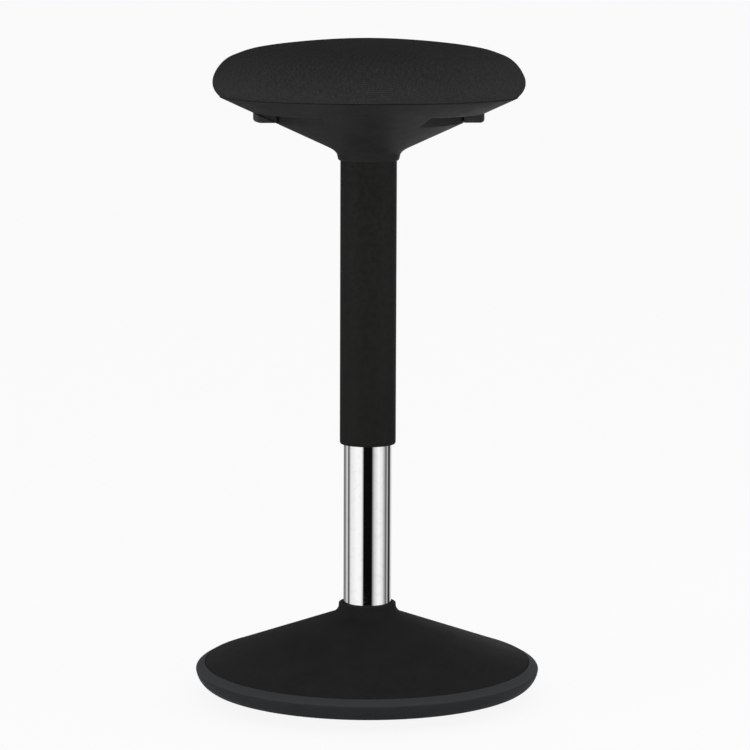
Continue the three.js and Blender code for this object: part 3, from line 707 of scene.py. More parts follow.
def disc(radius: float, bottom: float, top: float, centre: Point = (0.0, 0.0), sides: int = 32) -> Mesh:
    """Makes an upright cylinder.

    Args:
        radius: Its radius.
        bottom: The height of its lower end.
        top: The height of its upper end.
        centre: The X and Y of its axis.
        sides: How many flat sides it has.

    Returns:
        The mesh.
    """
    mesh = bmesh.new()
    place = Matrix.Translation((*centre, (bottom + top) / 2))
    bmesh.ops.create_cone(mesh, cap_ends=True, segments=sides, radius1=radius, radius2=radius,
                          depth=top - bottom, matrix=place)
    return mesh


def round_circle(count: int, radius: float, start: float = 0.0) -> list[Point]:
    """Returns places spread evenly round a circle, from an angle on."""
    angles = (start + ALL_ROUND * i / count for i in range(count))
    return [(radius * math.cos(angle), radius * math.sin(angle)) for angle in angles]


def reach(point: Vector) -> float:
    """Returns a point's distance from the upright axis."""
    return math.hypot(point.x, point.y)


def lean(point: Vector) -> float:
    """Returns a point's angle round the upright axis from the nearer end of the X axis."""
    return math.atan2(abs(point.y), abs(point.x))


def seated(mesh: Mesh, level: float, surface: Callable[[float], float]) -> Mesh:
    """Moves the points at one level onto a surface of revolution.

    Args:
        mesh: The mesh, which is changed.
        level: The height of the points that move.
        surface: The surface's height at a radius.

    Returns:
        The same mesh.
    """
    for vertex in mesh.verts:
        if abs(vertex.co.z - level) < WELD:
            vertex.co.z = surface(reach(vertex.co))
    return mesh


# Sub-assemblies


@dataclass
class SubAssembly:
    """A group of pieces that ride on one body.

    Attributes:
        finishes: The material of each slot.
        body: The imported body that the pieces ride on.
    """

    finishes: dict[Slot, Material]
    body: str = "base"

    def dress(self, mesh: Mesh, name: str, slot: Slot, replaced: Sequence[str],
              body: str | None = None) -> None:
        """Makes an object of a mesh and fits it as a finished piece."""
        self.fit(to_object(mesh, name), slot, replaced, body)

    def fit(self, piece: Piece, slot: Slot, replaced: Sequence[str], body: str | None = None) -> None:
        """Gives an object its material, its body and the nodes that it stands for.

        Args:
            piece: The object.
            slot: The slot that its material comes from.
            replaced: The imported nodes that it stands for.
            body: The body that it rides on, if it isn't the sub-assembly's own.
        """
        piece.data.materials.clear()
        piece.data.materials.append(self.finishes[slot])
        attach(piece, body or self.body)
        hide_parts(*replaced)
        LOG.info("%s: %s, %d faces, in place of %s", piece.name, slot.value, len(piece.data.polygons),
                 list(replaced))


@dataclass
class BaseAssembly(SubAssembly):
    """The base: a moulded cone with a hub, a rubber ring round its rim, a domed pan and a pad under it."""

    steps: int = 160
    pad_steps: int = 96
    screw_steps: int = 24
    dome_rings: int = 24
    rock_radius: float = 1.0
    cone_slope: float = math.tan(math.radians(20.5))
    cone_edge: float = 0.0341
    hub_radius: float = 0.03
    hub_flare: float = 0.011
    hub_neck: float = 0.0025
    hub_lip: float = 0.0015
    hub_chamfer: float = 0.0008
    sleeve_radius: float = 0.0289
    sleeve_height: float = 0.018
    shell_wall: float = 0.0035
    skirt_lift: float = 0.008
    edge: float = 0.0006
    gap: float = 0.0003
    ring_foot: float = 0.0125
    ring_girth: float = 0.0268
    ring_under: Point = (0.0016, 0.0172)
    ring_top: float = 0.0292
    ring_shoulder: Point = (0.0036, 0.0308)
    ring_break: float = 0.0004
    tongue_reach: float = 0.006
    tongue_thickness: float = 0.0024
    screw_count: int = 6
    screw_circle: float = 0.15
    screw_radius: float = 0.004
    screw_head: float = 0.0022
    screw_round: Point = (0.0003, 0.001)
    screw_shank: float = 0.002
    screw_key: float = 0.0018
    key_depth: float = 0.0013
    boss_radius: float = 0.005
    pan_wall: float = 0.005
    pad_edge: float = 0.0005
    groove_depth: float = 0.0008
    groove_width: float = 0.0016
    groove_count: int = 7

    def build(self) -> None:
        """Makes the shell, the ring, the pan, the pad and the screws."""
        self.shell()
        self.ring()
        self.pan()
        self.pad()
        self.screws()

    def cone(self, radius: float) -> float:
        """Returns the height of the cone's outside at a radius."""
        return self.cone_edge + (box("base_shell")[1].x - radius) * self.cone_slope

    def dome(self, radius: float) -> float:
        """Returns the height of the domed underside at a radius."""
        pad = box("floor_pad")[1].x
        return math.sqrt(self.rock_radius**2 - pad**2) - math.sqrt(self.rock_radius**2 - radius**2)

    def screw_places(self) -> list[Point]:
        """Returns the X and Y of each screw."""
        return round_circle(self.screw_count, self.screw_circle)

    def shell(self) -> None:
        """Makes the cone with its hub and its six screw bosses."""
        radius, top = box("base_shell")[1].x, box("base_shell")[1].z
        skirt = box("rim_ring")[0].z + self.skirt_lift
        bore = box("stand_tube")[1].x + self.gap
        drop = self.shell_wall * math.hypot(1, self.cone_slope)
        inner, sleeve_bottom = radius - self.shell_wall, top - self.sleeve_height
        hub, flare, chamfer = self.hub_radius, self.hub_radius + self.hub_flare, self.hub_chamfer
        body = revolve([
            (inner, skirt),
            (radius, skirt),
            (radius, self.cone_edge - self.edge),
            (radius - self.edge, self.cone(radius - self.edge)),
            *bend((flare, self.cone(flare)), (hub, self.cone(hub)), (hub, top - self.hub_neck), steps=12),
            *bend((hub, top - self.hub_lip), (hub, top), (hub - self.hub_lip, top)),
            (bore + chamfer, top),
            (bore, top - chamfer),
            (bore, sleeve_bottom),
            (self.sleeve_radius, sleeve_bottom),
            (self.sleeve_radius, self.cone(self.sleeve_radius) - drop),
            (inner, self.cone(inner) - drop),
        ], self.steps)
        low, high = box("base_shell")[0].z, self.cone(self.screw_circle)
        bosses = [seated(disc(self.boss_radius, low, high, place), high, lambda r: self.cone(r) - drop / 2)
                  for place in self.screw_places()]
        self.dress(gathered(body, bosses), "base_cone", Slot.MOULDED, ["base_shell"])

    def ring(self) -> None:
        """Makes the rubber ring with its rounded sides and its hidden tongue."""
        inner, widest = box("base_shell")[1].x + self.gap, box("rim_ring")[1].x
        tongue, edge = self.dome(inner) + self.pan_wall + self.gap, self.ring_break
        under, shoulder = ((widest - inset, height)
                           for inset, height in (self.ring_under, self.ring_shoulder))
        outline = [
            (inner - self.tongue_reach, tongue),
            (inner, tongue),
            (inner, self.ring_foot + edge),
            *bend((inner + 1.5 * edge, self.ring_foot), under, (widest, self.ring_girth), steps=14),
            *bend((widest, self.ring_girth), (widest, self.ring_top), shoulder, steps=12)[1:],
            *bend((inner + 3 * edge, self.cone_edge - edge), (inner, self.cone_edge),
                  (inner, self.cone_edge - 2.5 * edge), steps=4),
            (inner, tongue + self.tongue_thickness),
            (inner - self.tongue_reach, tongue + self.tongue_thickness),
        ]
        self.dress(revolve(outline, self.steps), "rim_band", Slot.RUBBER, ["rim_ring"])

    def pan(self) -> None:
        """Makes the domed underside, with a recess for the pad and sunk holes for the screws."""
        recess = box("floor_pad")[1].x + self.gap
        radius, floor = box("rocker_pan")[1].x, box("floor_pad")[1].z + self.gap
        radii = [recess + (radius - recess) * i / self.dome_rings for i in range(self.dome_rings + 1)]
        body = revolve([
            (0.0, floor),
            (recess, floor),
            *((r, self.dome(r)) for r in radii),
            *((r, self.dome(r) + self.pan_wall) for r in reversed(radii)),
            (0.0, self.dome(0.0) + self.pan_wall),
        ], self.steps)
        under, head_top = self.dome(self.screw_circle), box("base_screw_1")[0].z + self.screw_head
        sizes = ((self.screw_radius + self.gap, head_top + self.gap),
                 (self.screw_shank, under + 2 * self.pan_wall))
        holes = [disc(radius, under - 2 * self.pan_wall, top, place)
                 for place in self.screw_places() for radius, top in sizes]
        self.dress(combined(body, holes, Operation.CUT), "rocking_pan", Slot.MOULDED, ["rocker_pan"])

    def pad(self) -> None:
        """Makes the floor pad, with grooves that are open to the floor."""
        high, edge = box("floor_pad")[1], self.pad_edge
        pitch = high.x / (self.groove_count + 1)
        outline = [(0.0, 0.0)]
        for i in range(1, self.groove_count + 1):
            start, end = pitch * i - self.groove_width / 2, pitch * i + self.groove_width / 2
            outline += [(start, 0.0), (start, self.groove_depth), (end, self.groove_depth), (end, 0.0)]
        outline += [(high.x - edge, 0.0), (high.x, edge), (high.x, high.z), (0.0, high.z)]
        self.dress(revolve(outline, self.pad_steps), "grip_pad", Slot.RUBBER, ["floor_pad"])

    def screws(self) -> None:
        """Makes the six screws, with rounded heads and hexagon keys."""
        low, high = box("base_screw_1")
        radius, shank, head = self.screw_radius, self.screw_shank, low.z + self.screw_head
        fine, coarse = self.screw_round
        for i, (x, y) in enumerate(self.screw_places(), 1):
            mesh = revolve([
                (0.0, low.z),
                (radius - coarse, low.z),
                (radius - fine, low.z + fine),
                (radius, low.z + coarse),
                (radius, head),
                (shank, head),
                (shank, high.z - shank),
                (0.0, high.z),
            ], self.screw_steps)
            key = disc(self.screw_key, low.z - OVERCUT, low.z + self.key_depth, sides=6)
            mesh = combined(mesh, [key], Operation.CUT)
            bmesh.ops.translate(mesh, verts=mesh.verts, vec=(x, y, 0))
            self.dress(mesh, f"pan_screw_{i}", Slot.ZINC, [f"base_screw_{i}"])


@dataclass
class Column(SubAssembly):
    """The polished stand tube and the coated tube that slides over it."""

    steps: int = 128
    wall: float = 0.002
    stand_wall: float = 0.0015
    end_plate: float = 0.003
    rod_hole: float = 0.0073
    edge: float = 0.0005
    taper: float = 0.0008
    taper_top: float = 0.078
    end_height: float = 0.003
    end_inset: float = 0.0007

    def build(self) -> None:
        """Makes the two tubes."""
        self.stand()
        self.cover()

    def stand(self) -> None:
        """Makes the polished tube, tapered where it sits in its socket."""
        low, high = box("stand_tube")
        radius, bore, plate = high.x, high.x - self.stand_wall, low.z + self.end_plate
        outline = [
            (self.rod_hole, low.z),
            (radius - self.taper, low.z),
            (radius, self.taper_top),
            (radius, high.z - self.edge),
            (radius - self.edge, high.z),
            (bore, high.z),
            (bore, self.taper_top),
            (bore - self.taper, plate),
            (self.rod_hole, plate),
        ]
        self.dress(revolve(outline, self.steps), "chrome_tube", Slot.CHROME, ["stand_tube"])

    def cover(self) -> None:
        """Makes the coated tube, with its lower end drawn in a little."""
        low, high = box("cover_tube")
        radius, bore, inset = high.x, high.x - self.wall, self.end_inset
        outline = [
            *bend((bore, low.z + self.edge), (bore, low.z), (bore + self.edge, low.z), steps=3),
            *bend((radius - inset, low.z), (radius, low.z + inset), (radius, low.z + self.end_height)),
            (radius, high.z),
            (bore, high.z),
        ]
        self.dress(revolve(outline, self.steps), "sliding_tube", Slot.POWDER_COAT, ["cover_tube"], "seat")


@dataclass
class SeatHousing(SubAssembly):
    """The shallow cone under the cushion, with a collar on the tube and a finger recess on each side."""

    body: str = "seat"
    step_angle: float = math.radians(2.5)
    rim_edge: float = 0.0008
    rim_gap: float = 0.0003
    neck_radius: float = 0.0323
    neck_fillet: float = 0.005
    collar_radius: float = 0.0315
    collar_chamfer: float = 0.001
    cone_depth: float = 0.05565
    wall: float = 0.003
    gap: float = 0.0003
    throat: float = 0.0275
    window_inner: float = 0.0976
    window_outer: float = 0.1194
    recess_wall: float = 0.0033
    recess_top: float = 0.6219
    slot_top: float = 0.6171
    window_steps: int = 25
    slot_steps: int = 3
    boss_count: int = 4
    boss_circle: float = 0.1258
    boss_start: float = math.radians(45)
    boss_radius: float = 0.005
    round_over: float = 0.0006
    round_from: float = 0.08

    @property
    def slope(self) -> float:
        """The cone's rise for each metre outwards."""
        return self.cone_depth / (box("seat_housing")[1].x - self.neck_radius)

    @property
    def rim(self) -> float:
        """The height of the cone's upper rim, just under the cushion."""
        return box("seat_cover")[0].z - self.rim_gap

    def skin(self, radius: float) -> float:
        """Returns the height of the cone's outside at a radius."""
        return self.rim - self.rim_edge - (box("seat_housing")[1].x - radius) * self.slope

    def build(self) -> None:
        """Makes the housing in one piece."""
        mesh = self.blank()
        self.open_windows(mesh)
        self.raise_walls(mesh)
        rounded(mended(mesh), self.round_over,
                chosen=lambda edge: all(reach(v.co) > self.round_from for v in edge.verts))
        low, top = self.skin(self.boss_circle), box("seat_housing")[1].z
        bosses = [seated(disc(self.boss_radius, low, top, place), low, lambda r: self.skin(r) + self.wall / 2)
                  for place in round_circle(self.boss_count, self.boss_circle, self.boss_start)]
        self.dress(gathered(mesh, bosses), "seat_cone", Slot.MOULDED, ["seat_housing"])

    def blank(self) -> Mesh:
        """Turns the whole cone, with a ring of edges wherever a recess will start or end.

        Returns:
            The mesh.
        """
        radius, shoulder = box("seat_housing")[1].x, box("cover_tube")[1].z + self.gap
        bore, bottom = box("cover_tube")[1].x + self.gap, box("seat_housing")[0].z
        rise, floor = self.wall * math.hypot(1, self.slope), shoulder + self.wall
        neck, flare = self.neck_radius, self.neck_radius + 2 * self.neck_fillet
        near, far, thick = self.window_inner, self.window_outer, self.recess_wall
        rings = (near - 2 * thick, near - thick, near, far, far + thick)
        rim_inner = radius - (self.skin(radius) + rise - self.rim) / self.slope
        floor_radius = radius - (self.skin(radius) + rise - floor) / self.slope
        outline = [
            (bore, bottom),
            (self.collar_radius - self.collar_chamfer, bottom),
            (self.collar_radius, bottom + self.collar_chamfer),
            *bend((neck, self.skin(neck) - self.neck_fillet), (neck, self.skin(neck)),
                  (flare, self.skin(flare)), steps=10),
            *((r, self.skin(r)) for r in rings),
            (radius, self.skin(radius)),
            (radius, self.rim),
            (rim_inner, self.rim),
            *((r, self.skin(r) + rise) for r in reversed(rings)),
            (floor_radius, floor),
            (self.throat, floor),
            (self.throat, shoulder),
            (bore, shoulder),
        ]
        return revolve(outline, round(ALL_ROUND / self.step_angle))

    def in_window(self, point: Vector) -> bool:
        """Says whether a point is within a window or its lever's slot.

        Args:
            point: The point.

        Returns:
            Whether it is.
        """
        near, far = self.window_inner, self.window_outer
        if lean(point) > self.window_steps * self.step_angle:
            return False
        if lean(point) < self.slot_steps * self.step_angle:
            near -= 2 * self.recess_wall
        return near < reach(point) < far

    def in_wall(self, point: Vector) -> bool:
        """Says whether a point of the cone's inside is where the wall round a window stands.

        Args:
            point: The point.

        Returns:
            Whether it is.
        """
        if lean(point) < self.slot_steps * self.step_angle:
            return False
        inner, outer = self.window_inner - self.recess_wall, self.window_outer + self.recess_wall
        ends = lean(point) > self.window_steps * self.step_angle
        return (inner < reach(point) < (outer if ends else self.window_inner)
                and lean(point) < (self.window_steps + 1) * self.step_angle)

    def open_windows(self, mesh: Mesh) -> None:
        """Cuts both windows and closes the sides of the cut.

        Args:
            mesh: The cone, which is changed.
        """
        rise = self.wall * math.hypot(1, self.slope)
        faces = [f for f in mesh.faces if self.in_window(f.calc_center_median())]
        bmesh.ops.delete(mesh, geom=faces, context="FACES")
        lower = [e for e in mesh.edges if e.is_boundary
                 and all(abs(v.co.z - self.skin(reach(v.co))) < self.wall / 2 for v in e.verts)]
        moved = only(Vertex, bmesh.ops.extrude_edge_only(mesh, edges=lower)["geom"])
        bmesh.ops.translate(mesh, verts=moved, vec=(0, 0, rise))
        mended(mesh)

    def raise_walls(self, mesh: Mesh) -> None:
        """Raises the wall round each window, and closes it over the slot.

        Args:
            mesh: The cone, which is changed.
        """
        faces = [f for f in mesh.faces if f.normal.z > UPWARD and self.in_wall(f.calc_center_median())]
        for height in (self.slot_top, self.recess_top):
            faces = grown(mesh, faces, Face)
            for vertex in {v for face in faces for v in face.verts}:
                vertex.co.z = height
        mended(mesh)
        half = self.slot_steps * self.step_angle
        for side in (1, -1):
            ends = [f for f in mesh.faces if f.calc_center_median().x * side > 0
                    and f.calc_center_median().z > self.slot_top and abs(f.normal.z) < SIDEWAYS
                    and abs(lean(f.calc_center_median()) - half) < LEVEL]
            edges = {e for face in ends for e in face.edges}
            bmesh.ops.delete(mesh, geom=ends, context="FACES_ONLY")
            bmesh.ops.bridge_loops(mesh, edges=list(edges))
        mended(mesh)


@dataclass
class Levers(SubAssembly):
    """The two levers, each with a paddle that fills the middle of its window."""

    paddle_inner: float = 0.0993
    paddle_outer: float = 0.1189
    paddle_bottom: float = 0.6006
    paddle_top: float = 0.6095
    paddle_half: float = 0.0285
    corner: float = 0.0032
    lip: float = 0.0015
    arm_cut: float = 0.06
    arm_overlap: float = 0.004
    round_over: float = 0.001
    steps: int = 144

    def build(self) -> None:
        """Makes both levers."""
        for side, turn in (("right", 0.0), ("left", math.pi)):
            mesh = combined(self.arm(f"lever_{side}", turn), [self.paddle()], Operation.JOIN)
            self.dress(turned(mesh, turn), f"{side}_lever_arm", Slot.MOULDED, [f"lever_{side}"],
                       f"{side}_lever")

    def arm(self, node: str, turn: float) -> Mesh:
        """Copies a packed lever without its paddle.

        Args:
            node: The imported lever.
            turn: The angle that turns it to point along X.

        Returns:
            The mesh.
        """
        mesh = bmesh.new()
        mesh.from_mesh(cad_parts[node].data)
        bmesh.ops.remove_doubles(mesh, verts=mesh.verts, dist=WELD)
        end = self.trim(turned(mesh, turn), Vector((self.arm_cut, 0, 0)), (1, 0, 0))
        for vertex in grown(mesh, end, Vertex):
            vertex.co.x = self.paddle_inner + self.arm_overlap
        return mended(mesh)

    def trim(self, mesh: Mesh, spot: Vector, normal: tuple[int, int, int]) -> list[Face]:
        """Cuts off what lies past a plane, and closes the cut.

        Args:
            mesh: The mesh, which is changed.
            spot: A point of the plane.
            normal: The side of the plane that is cut off.

        Returns:
            The faces that close the cut.
        """
        cut = bmesh.ops.bisect_plane(mesh, geom=[*mesh.verts, *mesh.edges, *mesh.faces], plane_co=spot,
                                     plane_no=normal, clear_outer=True)
        edges = only(Edge, cut["geom_cut"])
        return bmesh.ops.edgenet_fill(mesh, edges=edges)["faces"] if edges else []

    def paddle(self) -> Mesh:
        """Makes the curved paddle, whose ends step down to a lip below the diagonal.

        Returns:
            The mesh.
        """
        inner, outer, bottom = self.paddle_inner, self.paddle_outer, self.paddle_bottom
        mesh = revolve([
            (inner, bottom),
            *bend((outer - self.corner, bottom), (outer, bottom), (outer, bottom + self.corner), steps=5),
            (outer, self.paddle_top),
            (inner, self.paddle_top),
        ], self.steps)
        for normal in ((0, 1, 0), (0, -1, 0)):
            self.trim(mesh, Vector(normal) * self.paddle_half, normal)
        self.trim(mesh, Vector((self.arm_cut, 0, 0)), (-1, 0, 0))
        mended(mesh)
        for side in (1, -1):
            self.step_down(mesh, side)
        return rounded(mended(mesh), self.round_over, segments=3)

    def step_down(self, mesh: Mesh, side: int) -> None:
        """Draws the lower half of one end of the paddle out to its lip.

        Args:
            mesh: The paddle, which is changed.
            side: 1 for its end at positive Y, -1 for the other.
        """
        end = max(mesh.faces, key=lambda face: face.calc_center_median().y * side)
        corners = sorted(end.verts, key=lambda vertex: (round(vertex.co.z, 4), vertex.co.x))
        bmesh.ops.connect_verts(mesh, verts=[corners[0], corners[-1]])
        halves = [f for f in mesh.faces if abs(f.normal.y * side - 1) < LEVEL]
        lower = min(halves, key=lambda face: face.calc_center_median().z)
        bmesh.ops.translate(mesh, verts=grown(mesh, [lower], Vertex), vec=(0, side * self.lip, 0))


@dataclass
class Cushion(SubAssembly):
    """The crowned foam cushion in its knitted cover, with the recess for the seat board."""

    body: str = "seat"
    steps: int = 192
    rings: int = 44
    shares: tuple[Point, ...] = (
        (0.958, 0.0), (0.989, 0.09), (1.002, 0.2), (1.0, 0.31), (0.987, 0.42), (0.965, 0.516),
        (0.938, 0.602), (0.906, 0.671), (0.868, 0.723), (0.77, 0.803), (0.69, 0.848), (0.589, 0.89),
        (0.468, 0.928), (0.346, 0.959), (0.183, 0.988), (0.0, 1.002),
    )
    hem_inner: float = 0.135
    hem: float = 0.0007
    hem_edge: Point = (0.0005, 0.0003)
    gap: float = 0.0003
    crease: float = 0.0006
    line_steps: int = 12
    pressure: float = 4.0
    swell_limit: float = 0.0006
    frames: int = 20

    def build(self) -> None:
        piece = to_object(self.skin(), "cushion", crease=math.radians(60))
        self.swell(piece)
        finer = piece.modifiers.new("finer", "SUBSURF")
        finer.levels = finer.render_levels = 1
        self.fit(piece, Slot.FABRIC, ["seat_cover", "seat_foam"])

    def line(self) -> list[Point]:
        """Draws the cushion's outside line from the seam up to the crown.

        Returns:
            Its points, evenly spaced.
        """
        low, high = box("seat_cover")
        radius, height = high.x, high.z - low.z
        knots = [(r * radius, low.z + z * height) for r, z in self.shares]
        knots = [(2 * knots[0][0] - knots[1][0], 2 * knots[0][1] - knots[1][1]), *knots,
                 (-knots[-2][0], knots[-2][1])]
        fine = []
        for a, b, c, d in zip(knots, knots[1:], knots[2:], knots[3:]):
            for step in range(self.line_steps):
                t = step / self.line_steps
                shares = (-t + 2 * t**2 - t**3, 2 - 5 * t**2 + 3 * t**3, t + 4 * t**2 - 3 * t**3, t**3 - t**2)
                fine.append(blend((share / 2 for share in shares), (a, b, c, d)))
        fine.append(knots[-2])
        return even(fine, self.rings)

    def skin(self) -> Mesh:
        """Turns the cover, with its weave map.

        Returns:
            The mesh.
        """
        line = self.line()
        board, low = box("seat_board")[1], box("seat_cover")[0]
        recess, roof = board.x + self.gap, board.z + self.gap
        (seam, foot), (side, height) = line[:2]
        outline = [
            *reversed(line[1:]),
            (seam + (side - seam) * self.crease / (height - foot), foot + self.crease),
            (seam, foot),
            (seam - self.crease, low.z),
            (self.hem_inner + self.hem_edge[0], low.z),
            (self.hem_inner, low.z + self.hem_edge[1]),
            (self.hem_inner, low.z + self.hem),
            (recess, low.z + self.hem),
            (recess, roof),
            (0.0, roof),
        ]
        mesh = revolve(outline, self.steps, closed=False)
        lengths = arc_lengths(line)
        weave = mesh.loops.layers.uv.new(WEAVE_MAP)
        for face in mesh.faces:
            for loop in face.loops:
                loop[weave].uv = self.unrolled(loop.vert.co, line, lengths)
        return mesh

    def unrolled(self, point: Vector, line: list[Point], lengths: list[float]) -> Point:
        """Finds where a point of the cover lies on the flat cloth, measured from the crown.

        Args:
            point: The point.
            line: The cushion's outside line.
            lengths: How far each of the line's points is from its start.

        Returns:
            The place on the flat cloth.
        """
        radius = reach(point)
        nearest = min(range(len(line)), key=lambda i: math.hypot(line[i][0] - radius, line[i][1] - point.z))
        run = lengths[-1] - lengths[nearest]
        if radius < WELD:
            return (0.0, 0.0)
        return (point.x / radius * run, point.y / radius * run)

    def swell(self, piece: Piece) -> None:
        """Blows the cover up like filled cloth, and keeps each point within its limit.

        Args:
            piece: The cushion, which is changed.
        """
        rest = [vertex.co.copy() for vertex in piece.data.vertices]
        seam, side = box("seat_cover")[0].z + 2 * self.crease, box("seat_board")[1].x + 2 * self.gap
        roof = box("seat_board")[1].z + 2 * self.gap
        held = [i for i, co in enumerate(rest) if co.z < seam or (co.z < roof and reach(co) < side)]
        pins = piece.vertex_groups.new(name="pinned")
        pins.add(held, 1.0, "REPLACE")
        cloth = piece.modifiers.new("filled", "CLOTH")
        cloth.settings.vertex_group_mass = pins.name
        cloth.settings.use_pressure = True
        cloth.settings.uniform_pressure_force = self.pressure
        cloth.settings.effector_weights.gravity = 0
        for number in range(1, self.frames + 1):
            bpy.context.scene.frame_set(number)
        swollen = to_mesh(piece)
        moves = [v.co - co for v, co in zip(swollen.verts, rest)]
        swollen.free()
        piece.modifiers.clear()
        piece.vertex_groups.clear()
        for vertex, move in zip(piece.data.vertices, moves):
            vertex.co += move * min(1.0, self.swell_limit / max(move.length, WELD))
        bpy.context.scene.frame_set(1)
        most = min(self.swell_limit, max(move.length for move in moves))
        LOG.info("cushion: swollen by up to %.1f mm", 1000 * most)


def arc_lengths(line: Sequence[Point]) -> list[float]:
    """Measures how far each point of a line is from its start, along the line.

    Args:
        line: The line's points.

    Returns:
        The length up to each point.
    """
    lengths = [0.0]
    for (r0, z0), (r1, z1) in zip(line, line[1:]):
        lengths.append(lengths[-1] + math.hypot(r1 - r0, z1 - z0))
    return lengths


def even(line: Sequence[Point], count: int) -> list[Point]:
    """Spreads points evenly along a line.

    Args:
        line: The line's points.
        count: How many equal parts it gets.

    Returns:
        The new points, with both ends.
    """
    lengths = arc_lengths(line)
    points, i = [], 0
    for step in range(count + 1):
        want = lengths[-1] * step / count
        while i < len(line) - 2 and lengths[i + 1] < want:
            i += 1
        t = (want - lengths[i]) / (lengths[i + 1] - lengths[i])
        points.append(tuple(a + (b - a) * t for a, b in zip(line[i], line[i + 1])))
    return points


# Studio


@dataclass(frozen=True)
class Lamp:
    """A square soft lamp that looks at the stool.

    Attributes:
        name: Its name.
        angle: Where it stands, in degrees from the camera's side.
        height: How high it is.
        power: Its power in watts.
        distance: How far it is from the stool's axis, along the floor.
        size: The length of its sides.
        aim: The height that it looks at.
    """

    name: str
    angle: float
    height: float
    power: float
    distance: float = 2.2
    size: float = 1.0
    aim: float = 0.35


@dataclass
class Studio:
    """The pale floor, the soft light and the camera.

    Attributes:
        azimuth: Where the camera stands, in degrees round the stool from its front.
        distance: How far the camera is from the stool's axis, along the floor.
        height: The camera's height.
        pitch: How far it looks down, in degrees.
        lens: Its focal length in millimetres.
        sensor: The width of its sensor in millimetres.
        aside: How far it is moved to its right.
        roll: How far it is turned about its own line of sight, in degrees.
        white: The brightness of the background.
        floor_light: How bright the floor looks, apart from what falls on it.
        floor_colour: How much of the falling light the floor throws back.
        floor_shadow: How much of the falling light shows on the floor.
        overhead: How bright the soft light above the stool is.
        overhead_span: The heights between which that light sets in, on a sphere of 1.
        rear: How bright the low light behind the stool is.
        rear_height: How high that light reaches, on a sphere of 1.
        rear_fade: The height over which it fades there.
        rear_span: How straight behind it sets in, and where it is full, as a cosine.
        lamps: The lamps.
        screen_stops: Angles from the camera's side, each with how bright the screen is there.
    """

    azimuth: float = -4.0
    distance: float = 3.234
    height: float = 0.801
    pitch: float = 8.164
    lens: float = 150.8
    sensor: float = 36.0
    aside: float = 0.0073
    roll: float = 0.2
    white: float = 0.956
    floor_half: float = 30.0
    floor_light: float = 0.9
    floor_colour: float = 0.8
    floor_shadow: float = 0.1
    overhead: float = 0.77
    overhead_span: Point = (0.54, 0.64)
    rear: float = 1.6
    rear_height: float = 0.35
    rear_fade: float = 0.1
    rear_span: Point = (0.55, 0.95)
    lamps: tuple[Lamp, ...] = (
        Lamp("front", 0, 0.3, 7.5, size=0.5), Lamp("left", -60, 0.3, 16.0, size=0.5),
        Lamp("right", 60, 0.3, 10.3, size=0.5), Lamp("side", 85, 0.9, 7.5),
    )
    screen_radius: float = 0.39
    screen_height: float = 0.75
    screen_steps: int = 360
    screen_stops: tuple[Point, ...] = (
        (-180, 0.2), (-130, 0.2), (-118, 0.6), (-109, 0.55), (-102, 0.0), (-94, 0.28), (-87, 0.76),
        (-50, 0.95), (-30, 0.9), (-23, 0.6), (-18.5, 0.003), (20, 0.003), (25, 0.28), (32, 0.6),
        (52, 0.92), (72, 0.8), (84, 0.45), (97, 0.06), (107, 0.5), (116, 0.04), (128, 0.0), (141, 0.55),
        (152, 0.9), (180, 0.2),
    )

    def build(self) -> None:
        """Makes the floor, the light, the screen and the camera."""
        self.world()
        self.floor()
        for lamp in self.lamps:
            self.light(lamp)
        self.screen()
        self.camera()
        bpy.context.scene.view_settings.view_transform = "Standard"

    def side(self, angle: float) -> Vector:
        """Returns the level direction at an angle from the camera's side, in degrees."""
        turn = math.radians(self.azimuth + angle)
        return Vector((math.sin(turn), -math.cos(turn), 0))

    def world(self) -> None:
        """Makes a white background, and soft light from overhead and from behind."""
        graph = Graph(bpy.data.worlds.new("studio"))
        bpy.context.scene.world = graph.owner
        way = graph.add("ShaderNodeTexCoord").outputs["Generated"]
        height = graph.part(way)
        above = graph.between(height, 0.0, self.overhead, self.overhead_span)
        back = graph.add("ShaderNodeVectorMath", {0: way, 1: self.side(180)}, operation="DOT_PRODUCT")
        behind = graph.between(back.outputs["Value"], 0.0, 1.0, self.rear_span)
        low = graph.between(height, self.rear, 0.0, (self.rear_height, self.rear_height + self.rear_fade))
        soft = graph.sum("ADD", above, graph.sum("MULTIPLY", behind, low))
        eye = graph.add("ShaderNodeLightPath").outputs["Is Camera Ray"]
        level = graph.add("ShaderNodeMix", {0: eye, 2: soft, 3: self.white}, data_type="FLOAT")
        light = graph.add("ShaderNodeBackground", {"Color": WHITE, "Strength": level.outputs[0]})
        graph.add("ShaderNodeOutputWorld", {"Surface": light.outputs["Background"]})

    def floor(self) -> None:
        """Makes the floor, which is white with a faint shadow from above, and clear from below."""
        mesh = bmesh.new()
        bmesh.ops.create_grid(mesh, x_segments=1, y_segments=1, size=self.floor_half)
        piece = to_object(mesh, "floor")
        graph = Graph(bpy.data.materials.new("floor_white"))
        seen = graph.seen()
        grey = graph.between(seen, self.floor_colour, self.floor_shadow, (0.0, 1.0))
        plain = graph.add("ShaderNodeBsdfDiffuse", {"Color": grey}).outputs["BSDF"]
        glow = graph.glow(graph.sum("MULTIPLY", seen, self.floor_light))
        top = graph.add("ShaderNodeAddShader", {0: plain, 1: glow}).outputs["Shader"]
        clear = graph.add("ShaderNodeBsdfTransparent").outputs["BSDF"]
        below = graph.add("ShaderNodeNewGeometry").outputs["Backfacing"]
        both = graph.add("ShaderNodeMixShader", {0: below, 1: top, 2: clear}).outputs["Shader"]
        graph.add("ShaderNodeOutputMaterial", {"Surface": both})
        piece.data.materials.append(graph.owner)

